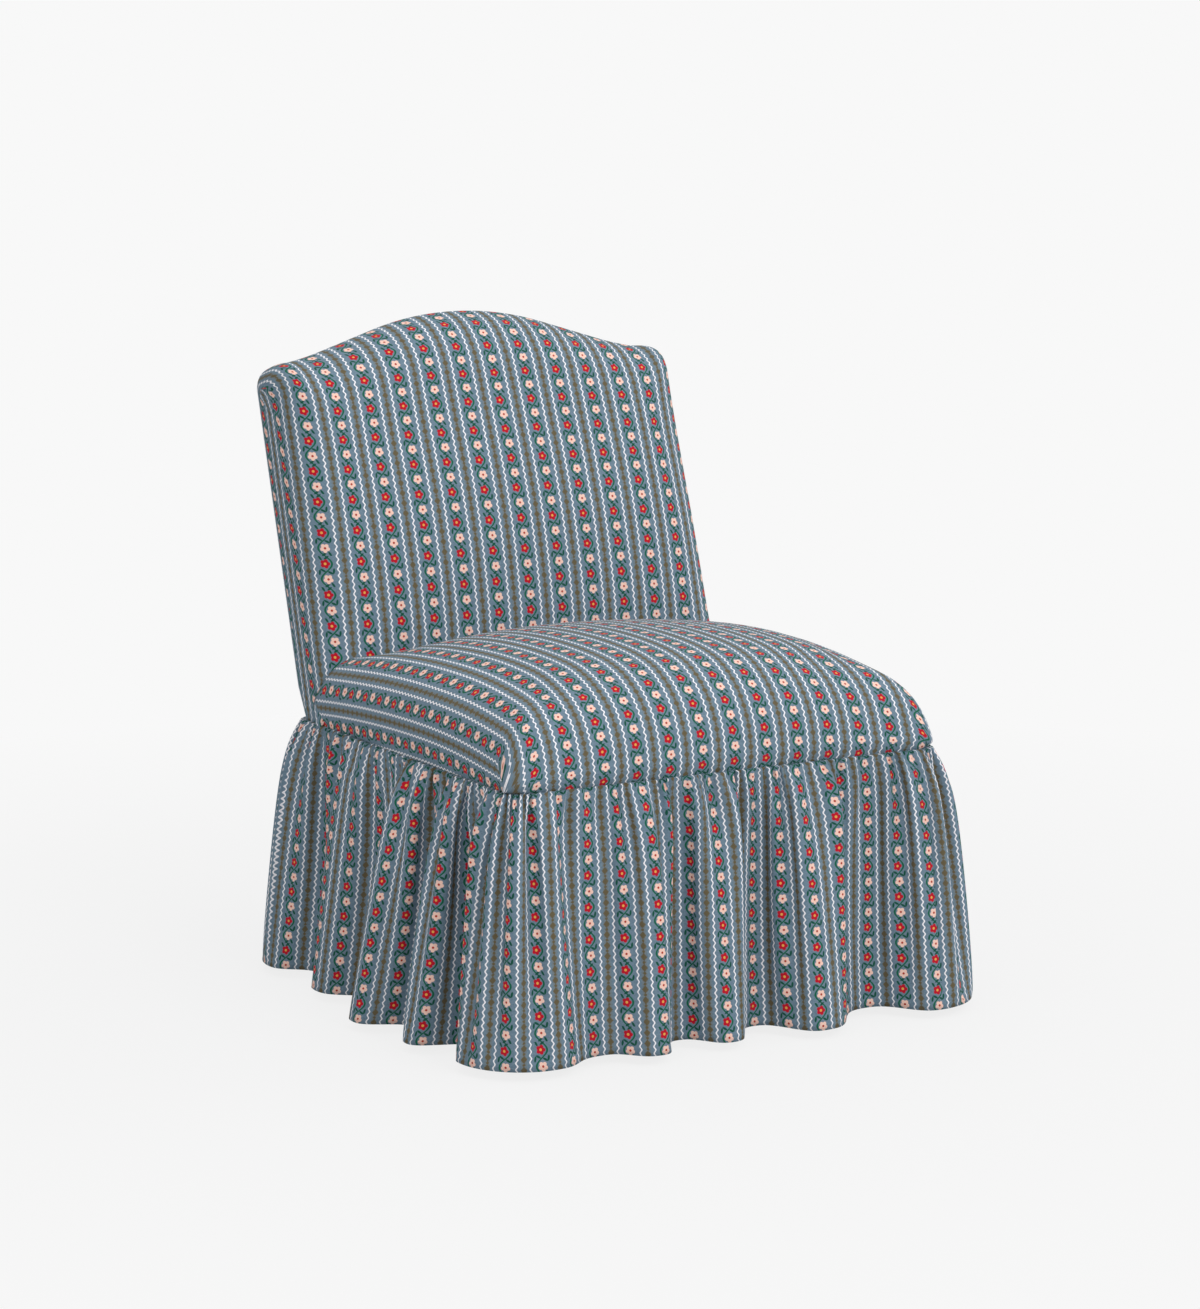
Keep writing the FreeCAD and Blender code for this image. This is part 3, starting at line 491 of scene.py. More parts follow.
def seat_patches():
    """Top, front and sides of the seat, with the cloth that goes down under the skirt."""
    x, points, centre_z = seat_lines()
    cloth = seat_cloth(x, points)
    low = below_seam(points[0], outward(x, corner_radius, -1))
    low_length = run_lengths(joined(low, points[:1]))
    low_along = cloth[0, :, 1] - low_length[-1] + low_length[:-1]
    low_cloth = grid_of(cloth[0, :, 0], low_along)
    whole = joined(low, points)
    patches = [Patch(whole, joined(low_cloth, cloth), clear_of_legs(whole)).facing((0, -0.5, 1))]
    edges = points[seat_wall_rows - 1:-seat_tuck_rows]
    for column, sign in ((0, -1), (-1, 1)):
        patches.append(seat_side(edges[:, column], centre_z[column], sign, abs(cloth[-1, 0, 0])))
    return patches


# Back

def back_sections():
    """Lines of the back at places across, from the front foot over the top and down to the rear seam.

    Each is a bowed front, a front roll, a short flat top, a rear roll and the margin of the rear.
    Gives the places across, and the lines up and forward on the slope.
    """
    x = across_stations(40, 12, side_roll)
    seam_x = half_width - back_seam_inset
    x = np.where(np.abs(np.abs(x) - seam_x) < seam_snap, np.sign(x) * seam_x, x)
    edge = np.clip((np.abs(x) - half_width + side_roll) / side_roll, 0, 1)
    front = back_thickness - round_off(x, side_roll)
    rear = round_off(x, back_side_rear_roll)
    top = crest_up(x) - round_off(x, shoulder_roll)
    front_turn = back_front_roll - back_front_easing * edge
    rear_turn = back_rear_roll - back_rear_easing * edge
    low = -math.tan(rake) * front
    share = np.linspace(0.0, 1.0, back_face_rows)[:, None]
    angle = np.linspace(0.0, math.pi / 2, back_roll_rows + 1)[1:, None]
    flat = shares(back_top_rows)
    margin = shares(back_margin_rows)
    seam_up = crest_up(x) - back_seam_inset - back_seam_dip * edge
    up = joined(
        low + (top - front_turn - low) * share,
        top - front_turn * (1 - np.sin(angle)),
        top + 0.0 * flat,
        top - rear_turn * (1 - np.cos(angle)),
        (top - rear_turn) + (seam_up - top + rear_turn) * margin,
    )
    forward = joined(
        front + back_bow(x) * np.cos((share - 0.5) * math.pi) ** 2,
        front - front_turn * (1 - np.cos(angle)),
        front - front_turn + (rear + rear_turn - front + front_turn) * flat,
        rear + rear_turn * (1 - np.sin(angle)),
        rear + 0.0 * margin,
    )
    return x, up, forward


def rear_lines(x, seam_up, rear, rows):
    """Lines down the rear from its seam: along the rake, in to the skirt seam and under the rail."""
    slope = on_slope(x, seam_up * (1 - shares(rows)), rear)
    _, foot_y, foot_z = slope[-1].T
    y = foot_y + (base_rear_y - rear - foot_y) * shares(back_foot_rows)
    z = foot_z + (seam_height - foot_z) * shares(back_foot_rows)
    knee = grid_of(x, y, z)
    return joined(slope, knee, below_seam(knee[-1], outward(x, back_side_rear_roll, 1))[::-1])


def back_side(front_edge, rear_edge, heights, sign, side_across):
    """One side of the back: flat from its front edge to its rear edge, and down under the skirt."""
    share = np.linspace(0.0, 1.0, back_top_rows + 1)[None, :, None]
    side = front_edge[:, None] + (rear_edge - front_edge)[:, None] * share
    low = below_seam(side[0], np.array([sign, 0, 0]))
    side = joined(low, side)
    depth = np.linalg.norm(side - side[:, :1], axis=-1)
    height = joined(side[:len(low), 0, 2] - seam_height, heights)
    cloth = grid_of(sign * (side_across + depth), height[:, None])
    return Patch(side, cloth, clear_of_legs(side)).facing((sign, 0, 0))


def back_patches():
    """Inside of the back with its top, sides and rear margins, and the rear panel inside its seam."""
    x, up, forward = back_sections()
    across = cloth_across(x, side_roll)
    foot_z = np.linspace(seam_height, rake_foot_z, back_foot_rows + 1)[:-1, None]
    foot = grid_of(x, back_front_y(x, foot_z), foot_z)
    points = joined(foot, on_slope(x, up, forward))
    length = run_lengths(points)
    cloth = grid_of(across, length)
    patches = [Patch(points, cloth).facing((0, -0.3, 1))]

    # The rear has as many rows as the front up to the top, so that the sides join both
    front_rows = back_foot_rows + back_face_rows + back_roll_rows - 1
    slope_rows = front_rows - back_roll_rows - back_margin_rows - back_foot_rows
    lines = rear_lines(x, up[-1], round_off(x, back_side_rear_roll), slope_rows)
    rear_points = joined(points[-1:], lines)
    rear_length = length[-1] + run_lengths(rear_points)
    rear_cloth = grid_of(across, rear_length)

    def rear_part(wanted):
        """The rear cloth between some of its lines."""
        part = rear_points[:, wanted]
        return Patch(part, rear_cloth[:, wanted], clear_of_legs(part)).facing((0, 1, 0))

    seam_x = half_width - back_seam_inset
    patches += [rear_part(x <= -seam_x + 1e-6), rear_part(x >= seam_x - 1e-6)]
    low_rows = len(lip_widths) + base_wall_rows
    for column, sign in ((0, -1), (-1, 1)):
        rear_edge = joined(points[front_rows + back_top_rows:, column], lines[:-low_rows, column])
        heights = length[:front_rows + 1, column]
        patches.append(back_side(points[:front_rows + 1, column], rear_edge[::-1], heights, sign, across[-1]))
    panel = rear_part(np.abs(x) <= seam_x + 1e-6)
    for patch in patches + [panel]:
        patch.cloth = patch.cloth / back_print_scale
    return patches, [panel]


# Skirt

def skirt_line(drop):
    """How far out the corners stand at this drop below the seam: quickly out, then a steady flare."""
    return skirt_seam_out + skirt_puff * (1 - np.exp(-drop / skirt_puff_drop)) + skirt_flare * drop


def fold_share(drop):
    """Share of the hem's fold depth reached at this drop: fast below the seam, level at the hem."""
    reach = 1 - math.exp(-skirt_drop / fold_growth_drop)
    return seam_fold_share + (1 - seam_fold_share) * (1 - np.exp(-drop / fold_growth_drop)) / reach


def hem_folds(side, place):
    """How far out the hem stands along a side: each half fold is a steepened cosine."""
    widths, outs = skirt_folds[side]
    crest = skirt_line(skirt_drop)
    ends = joined([0.0], np.cumsum(widths) / sum(widths))
    levels = np.array([crest, *outs, crest])
    number = np.clip(np.searchsorted(ends, place, side="right") - 1, 0, len(widths) - 1)
    share = np.clip((place - ends[number]) / (ends[number + 1] - ends[number]), 0, 1)
    steep = share - fold_steepness * np.sin(2 * math.pi * share) / (2 * math.pi)
    ease = (1 - np.cos(math.pi * steep)) / 2
    return levels[number] + (levels[number + 1] - levels[number]) * ease


def side_band(side, share, drop):
    """Points of the broad folds and how far out they are, from one corner's middle to the next.

    share runs along the side and drop down from the seam. The corners are quarter circles
    about the base's own, and the straight run between them carries the folds. Higher up the
    cloth of one broad fold leans along the side.
    """
    number = list(skirt_folds).index(side)
    heading = number * math.pi / 2
    x_in = half_width - corner_radius
    y_front, y_rear = base_front_y + corner_radius, base_rear_y - corner_radius
    start_x, start_y = ((-x_in, y_front), (x_in, y_front), (x_in, y_rear), (-x_in, y_rear))[number]
    length = 2 * x_in if side in ("front", "rear") else y_rear - y_front
    run = np.clip((share - corner_share) / (1 - 2 * corner_share), 0, 1)
    before = np.clip(1 - share / corner_share, 0, 1)
    after = np.clip((share - 1) / corner_share + 1, 0, 1)
    angle = heading + (after - before) * math.pi / 4
    line = skirt_line(drop)
    out = line - (skirt_line(skirt_drop) - hem_folds(side, run)) * fold_share(drop)
    out = np.where((run > 0) & (run < 1), out, line)
    normal = grid_of(np.sin(angle), -np.cos(angle))
    middle, reach, lean = skirt_leans[side]
    bump = np.clip(1 - ((run - middle) / reach) ** 2, 0, 1) ** 2
    along = length * (run + lean * bump * (1 - drop / skirt_drop))
    centre = grid_of(start_x + along * math.cos(heading), start_y + along * math.sin(heading))
    return centre + (corner_radius + out)[..., None] * normal, out


def bessel(order, x):
    """Bessel function of the first kind, from its power series."""
    total = np.zeros_like(x)
    for k in range(9):
        total += (-1) ** k * (x / 2) ** (2 * k + order) / (math.factorial(k) * math.factorial(k + order))
    return total


def swing_for(shortening):
    """The swing of a wave that draws cloth in to this share of its length."""
    swings = np.linspace(0.0, 2.2, 240)
    return np.interp(-shortening, -bessel(0, swings), swings)


def uneven_waves(count, place, seed):
    """Phase of count waves along a side, unevenly wide and whole at both ends."""
    shift = 0.0 * place
    for i, (turns, share) in enumerate(((3, 0.22), (7, 0.18), (13, 0.12), (23, 0.08))):
        start, rate = seed + 1.7 * i, 2 * math.pi * turns
        shift = shift + share / rate * (np.sin(rate * place + start) - math.sin(start))
    return 2 * math.pi * count * (place + shift)


def level_directions(x, y, window):
    """Unit directions along a level line of cloth, each averaged over a window to both sides."""
    tangent = grid_of(np.gradient(x), np.gradient(y))
    kernel = np.ones(2 * window + 1) / (2 * window + 1)
    padded = np.pad(tangent, ((window, window), (0, 0)), mode="edge")
    tangent = grid_of(*(np.convolve(padded[:, i], kernel, mode="valid") for i in (0, 1)))
    return tangent / np.linalg.norm(tangent, axis=-1)[:, None]


def gathered_side(side, seed, columns, drops):
    """One side of the gathered skirt as a grid of points, with its cloth coordinates across.

    The hem is as long as the cloth. Higher up the broad folds are shallower, and the spare
    cloth is drawn in by two sets of waves: a wave whose direction swings by w radians draws
    cloth in to J0(w) of its length, moves it 2 J1(w) / k sideways and J2(w) / k along, where
    k is its phase per metre.
    """
    fine = np.linspace(0.0, 1.0, 1601)
    bands, outs = (np.stack(part) for part in zip(*(side_band(side, fine, drop) for drop in drops)))
    steps = np.linalg.norm(np.diff(bands, axis=1), axis=-1)
    run = np.concatenate([np.zeros((len(drops), 1)), np.cumsum(steps, axis=1)], axis=1)
    cloth_length = run[-1, -1]
    cloth = np.linspace(0.0, cloth_length, columns + 1)
    grid = np.zeros((len(drops), columns + 1, 3))
    waves = []
    for gather, start in ((small_gather, seed + 5.0), (middle_gather, seed)):
        phase = uneven_waves(round(cloth_length / gather), cloth / cloth_length, start)
        waves.append((phase, np.gradient(phase, cloth)))
    for row, drop in enumerate(drops):
        keep = cloth_follows_folds + (1 - cloth_follows_folds) * fold_share(drop)
        even = run[row] / run[row, -1] * cloth_length
        fabric = keep * run[-1] + (1 - keep) * even
        length = np.interp(cloth, fabric, run[row])
        shortening = np.clip(np.gradient(length, cloth), 0.05, 1.0)
        small_part = math.exp(-(drop / small_gather_drop) ** 2)
        away, shift, drawn_in = 0.0, 0.0, 1.0
        for (phase, rate), part in zip(waves, (small_part, 1 - small_part)):
            swing = swing_for(shortening ** part)
            away = away + drawn_in * 2 * bessel(1, swing) / rate * np.sin(phase)
            shift = shift + drawn_in * bessel(2, swing) / rate * np.sin(2 * phase)
            drawn_in = bessel(0, swing)
        length = np.clip(length - shift, 0.0, run[row, -1])
        x = np.interp(length, run[row], bands[row, :, 0])
        y = np.interp(length, run[row], bands[row, :, 1])
        away = np.maximum(away, closest_to_base - np.interp(length, run[row], outs[row]))
        tangent = level_directions(x, y, columns // 60)
        grid[row, :, 0] = x + away * tangent[:, 1]
        grid[row, :, 1] = y - away * tangent[:, 0]
        grid[row, :, 2] = seam_height - drop
    return grid, cloth, cloth_length


def skirt_pieces(material, reverse):
    """Front and rear pieces go round their corners; side pieces lie between them."""
    drops = skirt_drop * np.linspace(0.0, 1.0, skirt_rows) ** 1.5
    slant = joined([0.0], np.cumsum(np.hypot(np.diff(drops), np.diff(skirt_line(drops)))))
    bands, places, starts = [], [], [0.0]
    for number, side in enumerate(skirt_folds):
        grid, cloth, length = gathered_side(side, 2.0 + 1.3 * number, skirt_columns, drops)
        bands.append(grid[:, :-1])
        places.append(cloth[:-1] + starts[-1])
        starts.append(starts[-1] + length)
    band = np.concatenate(bands, axis=1)
    across = joined(*places)
    total = len(across)
    middle = (0, (base_front_y + base_rear_y) / 2, 0)
    facings = ((0, -1, 0), (1, 0, 0), (0, 1, 0), (-1, 0, 0))
    for number, (side, facing) in enumerate(zip(skirt_folds, facings)):
        over = round(skirt_columns * skirt_cut_share) * (1 if side in ("front", "rear") else -1)
        numbers = np.arange(skirt_columns * number - over, skirt_columns * (number + 1) + over + 1)
        points = band[:, numbers % total]
        wide = across[numbers % total] + (numbers // total) * starts[-1]
        inward = (middle - points[:1]) * (1, 1, 0)
        inward /= np.linalg.norm(inward, axis=-1)[..., None]
        tuck = points[:1] + inward * skirt_tuck[0] + (0, 0, skirt_tuck[1])
        points = joined(tuck, points)
        down = joined([skirt_tuck[0]], -slant)
        patch = Patch(points, grid_of(wide, down[:, None])).facing(facing)
        mesh = make_mesh("skirt_" + side + "_cloth", [patch])
        name = "gathered_skirt_" + side
        piece = add_piece(name, mesh, material, ["skirt_" + side], skirt_cloth, reverse)
        wide[-1] - wide[0]


# Materials

class Wire:
    """A socket whose operators add Math nodes."""

    def __init__(self, shader, socket):
        self.shader = shader
        self.socket = socket

    def math(self, operation, *others):
        """A Math node of this socket and the others, in order."""
        return self.shader.node("Math", {"operation": operation}, [self, *others])

    def __add__(self, other):
        return self.math("ADD", other)

    def __mul__(self, other):
        return self.math("MULTIPLY", other)

    def __sub__(self, other):
        return self.math("SUBTRACT", other)

    def __rsub__(self, other):
        return self.math("MULTIPLY", -1.0) + other

    def __truediv__(self, other):
        return self.math("DIVIDE", other)

    def __abs__(self):
        return self.math("ABSOLUTE")

    def below(self, limit, soft):
        """1 where the value is under limit, fading to 0 over soft."""
        return ((limit - self) / soft + 0.5).clamp()

    def clamp(self):
        """The value kept between 0 and 1."""
        return self.math("MAXIMUM", 0.0).math("MINIMUM", 1.0)

    def wrapped(self, period):
        """The value carried to between minus and plus half a period."""
        return self.math("WRAP", period / 2, -period / 2)

    def swing(self, period):
        """Sine of the value, over this period."""
        return (self * (2 * math.pi / period)).math("SINE")


class Shader:
    """The nodes of a material or of the world, added by one method."""

    def __init__(self, owner):
        self.owner = owner
        owner.use_nodes = True
        self.tree = owner.node_tree
        self.tree.nodes.clear()

    def node(self, kind, settings=None, values=(), output=0):
        """Adds a node: its settings first, then values or links by order or by name."""
        made = self.tree.nodes.new("ShaderNode" + kind)
        for key, value in (settings or {}).items():
            setattr(made, key, value)
        items = values.items() if isinstance(values, dict) else enumerate(values)
        for key, value in items:
            value = value.socket if isinstance(value, Wire) else value
            if isinstance(value, bpy.types.NodeSocket):
                self.tree.links.new(value, made.inputs[key])
            else:
                made.inputs[key].default_value = value
        return Wire(self, made.outputs[output]) if made.outputs else made

    def mix(self, factor, first, second):
        """Colour first where factor is 0 and second where it is 1."""
        return self.node("Mix", {"data_type": "RGBA"}, {0: factor, 6: first, 7: second}, 2)

    def noise(self, vector, scale, detail=2.0):
        """Even noise from 0 to 1."""
        return self.node("TexNoise", {}, {"Vector": vector, "Scale": scale, "Detail": detail})

    def first_two(self, vector):
        """The vector's first two parts."""
        return [self.node("SeparateXYZ", {}, [vector], part) for part in (0, 1)]

    def place(self):
        """Place in the object's own frame, in metres."""
        return self.node("TexCoord", {}, (), "Object")

    def finish(self, values, bump_height=None, bump_depth=0.001, bump_strength=1.0):
        """The material, with its surface shader and its bump."""
        if bump_height is not None:
            bump = {"Height": bump_height, "Distance": bump_depth, "Strength": bump_strength}
            values = dict(values, Normal=self.node("Bump", {}, bump))
        surface = self.node("BsdfPrincipled", {}, values)
        self.node("OutputMaterial", {}, {"Surface": surface})
        return self.owner


def srgb(red, green, blue):
    """A colour written as on a screen, 0 to 255, as the shader needs it."""
    parts = [c / 255 for c in (red, green, blue)]
    linear = [c / 12.92 if c <= 0.04045 else ((c + 0.055) / 1.055) ** 2.4 for c in parts]
    return (*linear, 1.0)


ground_light = srgb(124, 146, 162)
ground_dark = srgb(96, 120, 138)
wave_white = srgb(248, 246, 250)
band_olive = srgb(102, 86, 48)
band_shade = srgb(124, 122, 108)
blossom_red = srgb(190, 22, 44)
blossom_pink = srgb(250, 208, 192)
eye_yellow = srgb(232, 172, 84)
eye_red = srgb(178, 58, 40)
vine_green = srgb(24, 98, 72)
leaf_green = srgb(22, 82, 66)
reverse_pale = srgb(176, 184, 190)
pale = srgb(248, 248, 248)


def new_material(name):
    """Shader of a new material."""
    return Shader(bpy.data.materials.new(name))


def blossom(x, y, turn=0.0):
    """Mask of a flower, a disc that swells at each of five petals, and the distance from its middle."""
    radius = (x * x + y * y).math("SQRT")
    angle = y.math("ARCTAN2", x)
    lobes = abs((angle * 2.5 + turn).math("COSINE"))
    return radius.below(lobes * (0.30 * blossom_size) + 0.72 * blossom_size, print_edge), radius


def leaf(x, y, centre_x, centre_y, slant):
    """Mask of a pointed leaf, an ellipse turned by slant degrees."""
    c, s = math.cos(math.radians(slant)), math.sin(math.radians(slant))
    dx, dy = x - centre_x, y - centre_y
    lengthwise = (dx * c + dy * s) / leaf_long
    sideways = (dy * c - dx * s) / leaf_wide
    reach = (lengthwise * lengthwise + sideways * sideways).math("SQRT")
    return reach.below(1.0, print_edge / leaf_wide)


def printed_cotton(name, faded=0.0):
    """Blue ground with a trailing vine, wavy white lines and an olive chain, repeated across.

    faded is how far the print has gone pale, as on the wrong side of the cloth.
    """
    shader = new_material(name)
    uv = shader.node("UVMap", {"uv_map": "cloth"})
    across, along = shader.first_two(uv)
    across = across - stripe_shift
    mottle = shader.noise(uv, 420.0, 3.0)
    color = shader.mix((mottle - 0.5) * 2.2 + 0.5, ground_dark, ground_light)

    # White wavy lines beside the olive chain
    band_x = (across + stripe_period / 2).wrapped(stripe_period)
    ripple = along.swing(ripple_pitch) * ripple_swing
    line_mask = abs(abs(band_x + ripple) - wavy_line_place).below(wavy_line_half, print_edge)
    color = shader.mix(line_mask, color, wave_white)

    # Olive chain: lozenges with small beads between them, worn at their edges, on a shaded band
    worn = (shader.noise(uv, 520.0, 2.0) - 0.5) * 0.0022
    color = shader.mix((abs(band_x) + worn).below(0.0038, 0.0016) * 0.4, color, band_shade)
    link_pitch = flower_pitch / 3
    link_y = along.wrapped(link_pitch)
    bead_y = (along + link_pitch / 2).wrapped(link_pitch)
    lozenge = (abs(band_x) / link_half_width + abs(link_y) / link_half_length + worn * 260).below(1.0, 0.25)
    bead = ((band_x * band_x + bead_y * bead_y).math("SQRT") + worn).below(bead_radius, print_edge)
    color = shader.mix(lozenge.math("MAXIMUM", bead) * 0.85, color, band_olive)

    # Vine and leaves
    x = across.wrapped(stripe_period)
    y = along.wrapped(flower_pitch)
    vine = abs(x - along.swing(flower_pitch) * vine_swing).below(vine_half, print_edge)
    leaves = leaf(x, y, *leaf_spots[0])
    for spot in leaf_spots[1:]:
        leaves = leaves.math("MAXIMUM", leaf(x, y, *spot))
    color = shader.mix(vine, color, vine_green)
    color = shader.mix(leaves, color, leaf_green)

    # Blossoms in the bends of the vine
    quarter = flower_pitch / 4
    red, red_radius = blossom(x + blossom_shift, y - quarter)
    pink, pink_radius = blossom(x - blossom_shift, y + quarter, turn=0.8)
    color = shader.mix(red, color, blossom_red)
    color = shader.mix(red_radius.below(0.0017, print_edge), color, eye_yellow)
    color = shader.mix(pink, color, blossom_pink)
    color = shader.mix(pink_radius.below(0.0015, print_edge), color, eye_red)

    color = shader.mix(faded, color, reverse_pale)
    weave = across.swing(thread_pitch) * along.swing(thread_pitch) * 0.5 + shader.noise(uv, 900.0, 2.0)
    values = {"Base Color": color, "Roughness": 0.9, "Specular IOR Level": 0.15, "Sheen Weight": 0.05,
              "Sheen Roughness": 0.5}
    return shader.finish(values, weave, 0.00016, 0.7)


def wood(name, light, dark):
    """Sawn hardwood: grain lines drawn out along the length, and a light mottle."""
    shader = new_material(name)
    stretched = shader.node("Mapping", {}, {"Vector": shader.place(), "Scale": (30.0, 30.0, 2.2)})
    grain = shader.noise(stretched, 3.0, 6.0)
    color = shader.mix(grain, dark, light)
    rough = grain * 0.15 + 0.5
    return shader.finish({"Base Color": color, "Roughness": rough}, grain, 0.0004, 0.4)


def plain_cloth(name, light, dark, thread=0.0016, rough=0.9):
    """Plain weave: two sets of threads over and under each other."""
    shader = new_material(name)
    warp, weft = shader.first_two(shader.place())
    weave = warp.swing(thread) * weft.swing(thread) * 0.5 + 0.5
    color = shader.mix(weave, dark, light)
    return shader.finish({"Base Color": color, "Roughness": rough}, weave, 0.0003, 0.5)


def paint_frame_nodes():
    """Materials of the pieces that keep their own form."""
    beech = wood("beech_frame", srgb(205, 172, 128), srgb(166, 126, 82))
    dark_leg = wood("stained_leg", srgb(120, 82, 54), srgb(74, 48, 32))
    webbing = plain_cloth("jute_webbing", srgb(176, 148, 104), srgb(126, 100, 66), 0.0024)
    hessian = plain_cloth("hessian", srgb(178, 154, 112), srgb(120, 98, 66), 0.0020)
    card = plain_cloth("tack_card", srgb(170, 158, 136), srgb(150, 138, 118), 0.0030)
    nylon = plain_cloth("glide_nylon", srgb(196, 192, 184), srgb(180, 176, 168), 0.0040, 0.4)
    finishes = [
        (beech, ("front_seat_rail", "rear_seat_rail", "right_seat_rail", "left_seat_rail", "crest_rail",
                 "lower_back_rail", "corner_blocks")),
        (dark_leg, ("right_front_leg", "left_front_leg", "right_back_post", "left_back_post")),
        (webbing, ("seat_webbing_lengthwise", "seat_webbing_crosswise", "back_webbing_upright",
                   "back_webbing_level")),
        (hessian, ("seat_hessian",)),
        (card, ("skirt_tack_strips",)),
        (nylon, ("foot_glides",)),
    ]
    for material, nodes in finishes:
        for node in nodes:
            set_material(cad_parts[node].data, material)


def points_of(mesh):
    """The points of a mesh, one in each row."""
    numbers = np.empty(len(mesh.vertices) * 3)
    mesh.vertices.foreach_get("co", numbers)
    return numbers.reshape(-1, 3)


def even_out(mesh, move):
    """Moves of the mesh's points, each drawn halfway to its neighbours' mean, many times over."""
    ends = np.empty(len(mesh.edges) * 2, int)
    mesh.edges.foreach_get("vertices", ends)
    first, second = ends.reshape(-1, 2).T
    around = np.maximum(np.bincount(ends, minlength=len(move)), 1)[:, None]
    for _ in range(smoothing_rounds):
        total = np.zeros_like(move)
        np.add.at(total, first, move[second])
        np.add.at(total, second, move[first])
        move = (move + total / around) / 2
    return move


def swell_over_padding(mesh, freedom, reach):
    """Lets the cloth swell over its padding between its seams.

    A cloth simulation without weight, pushed out by the padding, runs on the mesh. freedom gives
    the share of each point that may move, and no point goes further than reach. Small buckles
    are evened out between neighbours.
    """
    old = points_of(mesh)
    free = freedom(old)
    holder = add_object("swelling", mesh)
    group = holder.vertex_groups.new(name="held")
    held = np.round((1 - free) * held_levels).astype(int)
    for level in range(1, held_levels + 1):
        group.add(np.nonzero(held == level)[0].tolist(), level / held_levels, "REPLACE")
    cloth = holder.modifiers.new("swelling", "CLOTH")
    for setting, value in swelling_cloth.items():
        setattr(cloth.settings, setting, value)
    cloth.settings.vertex_group_mass = "held"
    cloth.settings.effector_weights.gravity = 0.0
    cloth.point_cache.frame_start = 1
    cloth.point_cache.frame_end = swelling_frames
    for number in range(1, swelling_frames + 1):
        scene.frame_set(number)
    swollen = points_of(holder.evaluated_get(bpy.context.evaluated_depsgraph_get()).to_mesh())
    bpy.data.objects.remove(holder)
    scene.frame_set(1)
    move = even_out(mesh, swollen - old)
    far = np.linalg.norm(move, axis=-1, keepdims=True)
    move *= reach * np.tanh(far / reach) / np.maximum(far, 1e-9)
    mesh.vertices.foreach_set("co", (old + move * free[:, None]).ravel())
    mesh.update()


def seat_freedom(points):
    """The seat's cloth is held below the seam and where it tucks in behind."""
    x, y, z = points.T
    over_seam = smooth_step(z, seam_height + 0.002, seam_height + 0.030)
    return over_seam * smooth_step(back_front_y(x, z) - y, 0.004, 0.050)


def back_freedom(points):
    """The back's cloth is held along the seams of the rear panel, behind the seat and at the foot."""
    _, y, z = points.T
    forward = (rake_foot_y - y) * math.cos(rake) + (z - rake_foot_z) * math.sin(rake)
    return smooth_step(forward, 0.026, 0.070) * smooth_step(z, 0.40, 0.47)


def make_chair():
    """The upholstered seat, the back, the skirt and the finishes of the frame."""
    cotton = printed_cotton("printed_cotton")
    inside, outside = back_patches()
    for name, mesh_name, patches, freedom, reach, fill, stands_for in (
        ("upholstered_seat", "seat_top_cloth", seat_patches(), seat_freedom, 0.010, 0.9,
         ["seat_cover", "seat_foam", "rail_batting"]),
        ("upholstered_back", "inside_back_cloth", inside, back_freedom, 0.008, 0.9,
         ["inside_back_cover", "back_foam"]),
        ("rear_panel", "rear_panel_cloth", outside, None, 0.0, 0.4, ["outside_back_cover", "back_batting"]),
    ):
        mesh = make_mesh(mesh_name, patches)
        if freedom:
            swell_over_padding(mesh, freedom, reach)
        piece = add_piece(name, mesh, cotton, stands_for)
    skirt_pieces(cotton, printed_cotton("printed_cotton_reverse", 0.6))
    paint_frame_nodes()


def make_dust_cover():
    """Black cloth stretched under the rails, cut out at the legs, sagging a little, with its staples."""
    (x0, y0, z0), (x1, y1, _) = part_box("dust_cover")
    (leg_x, _, _, leg_y), (post_x, _, post_y, _) = leg_places
    x = np.sort(joined(np.linspace(x0, x1, 41), [-leg_x, leg_x, -post_x, post_x]))
    y = np.sort(joined(np.linspace(y0, y1, 39), [leg_y, post_y]))
    x_mid, y_mid = np.abs(x[1:] + x[:-1]) / 2, (y[1:] + y[:-1])[:, None] / 2
    keep = ~(((x_mid > leg_x) & (y_mid < leg_y)) | ((x_mid > post_x) & (y_mid > post_y)))
    across, along = np.meshgrid(x, y)
    middle_y, half_y = (y0 + y1) / 2, (y1 - y0) / 2
    fullness = np.clip(1 - (across / x1) ** 2, 0, 1) * np.clip(1 - ((along - middle_y) / half_y) ** 2, 0, 1)
    points = grid_of(across, along, z0 + 0.0006 - dust_cloth_sag * fullness)
    cloth = grid_of(across, along)
    mesh = make_mesh("dust_cloth_sheet", [Patch(points, cloth, keep).facing((0, 0, -1))])
    black = plain_cloth("dust_cloth", srgb(44, 44, 46), srgb(22, 22, 24), 0.0014)
    sheet = add_piece("dust_cloth", mesh, black, ["dust_cover"], 0.0005)

    inset, gap, long, thin = 0.007, 0.045, 0.005, 0.0006
    row_x = np.arange(-leg_x + 0.02, leg_x - 0.01, gap)
    row_y = np.arange(leg_y + 0.02, post_y - 0.01, gap)
    places = [(x, y, long, thin) for x in row_x for y in (y0 + inset, y1 - inset)]
    places += [(x, y, thin, long) for y in row_y for x in (x0 + inset, x1 - inset)]
    make_staples(np.array(places), z0 - 0.0002)


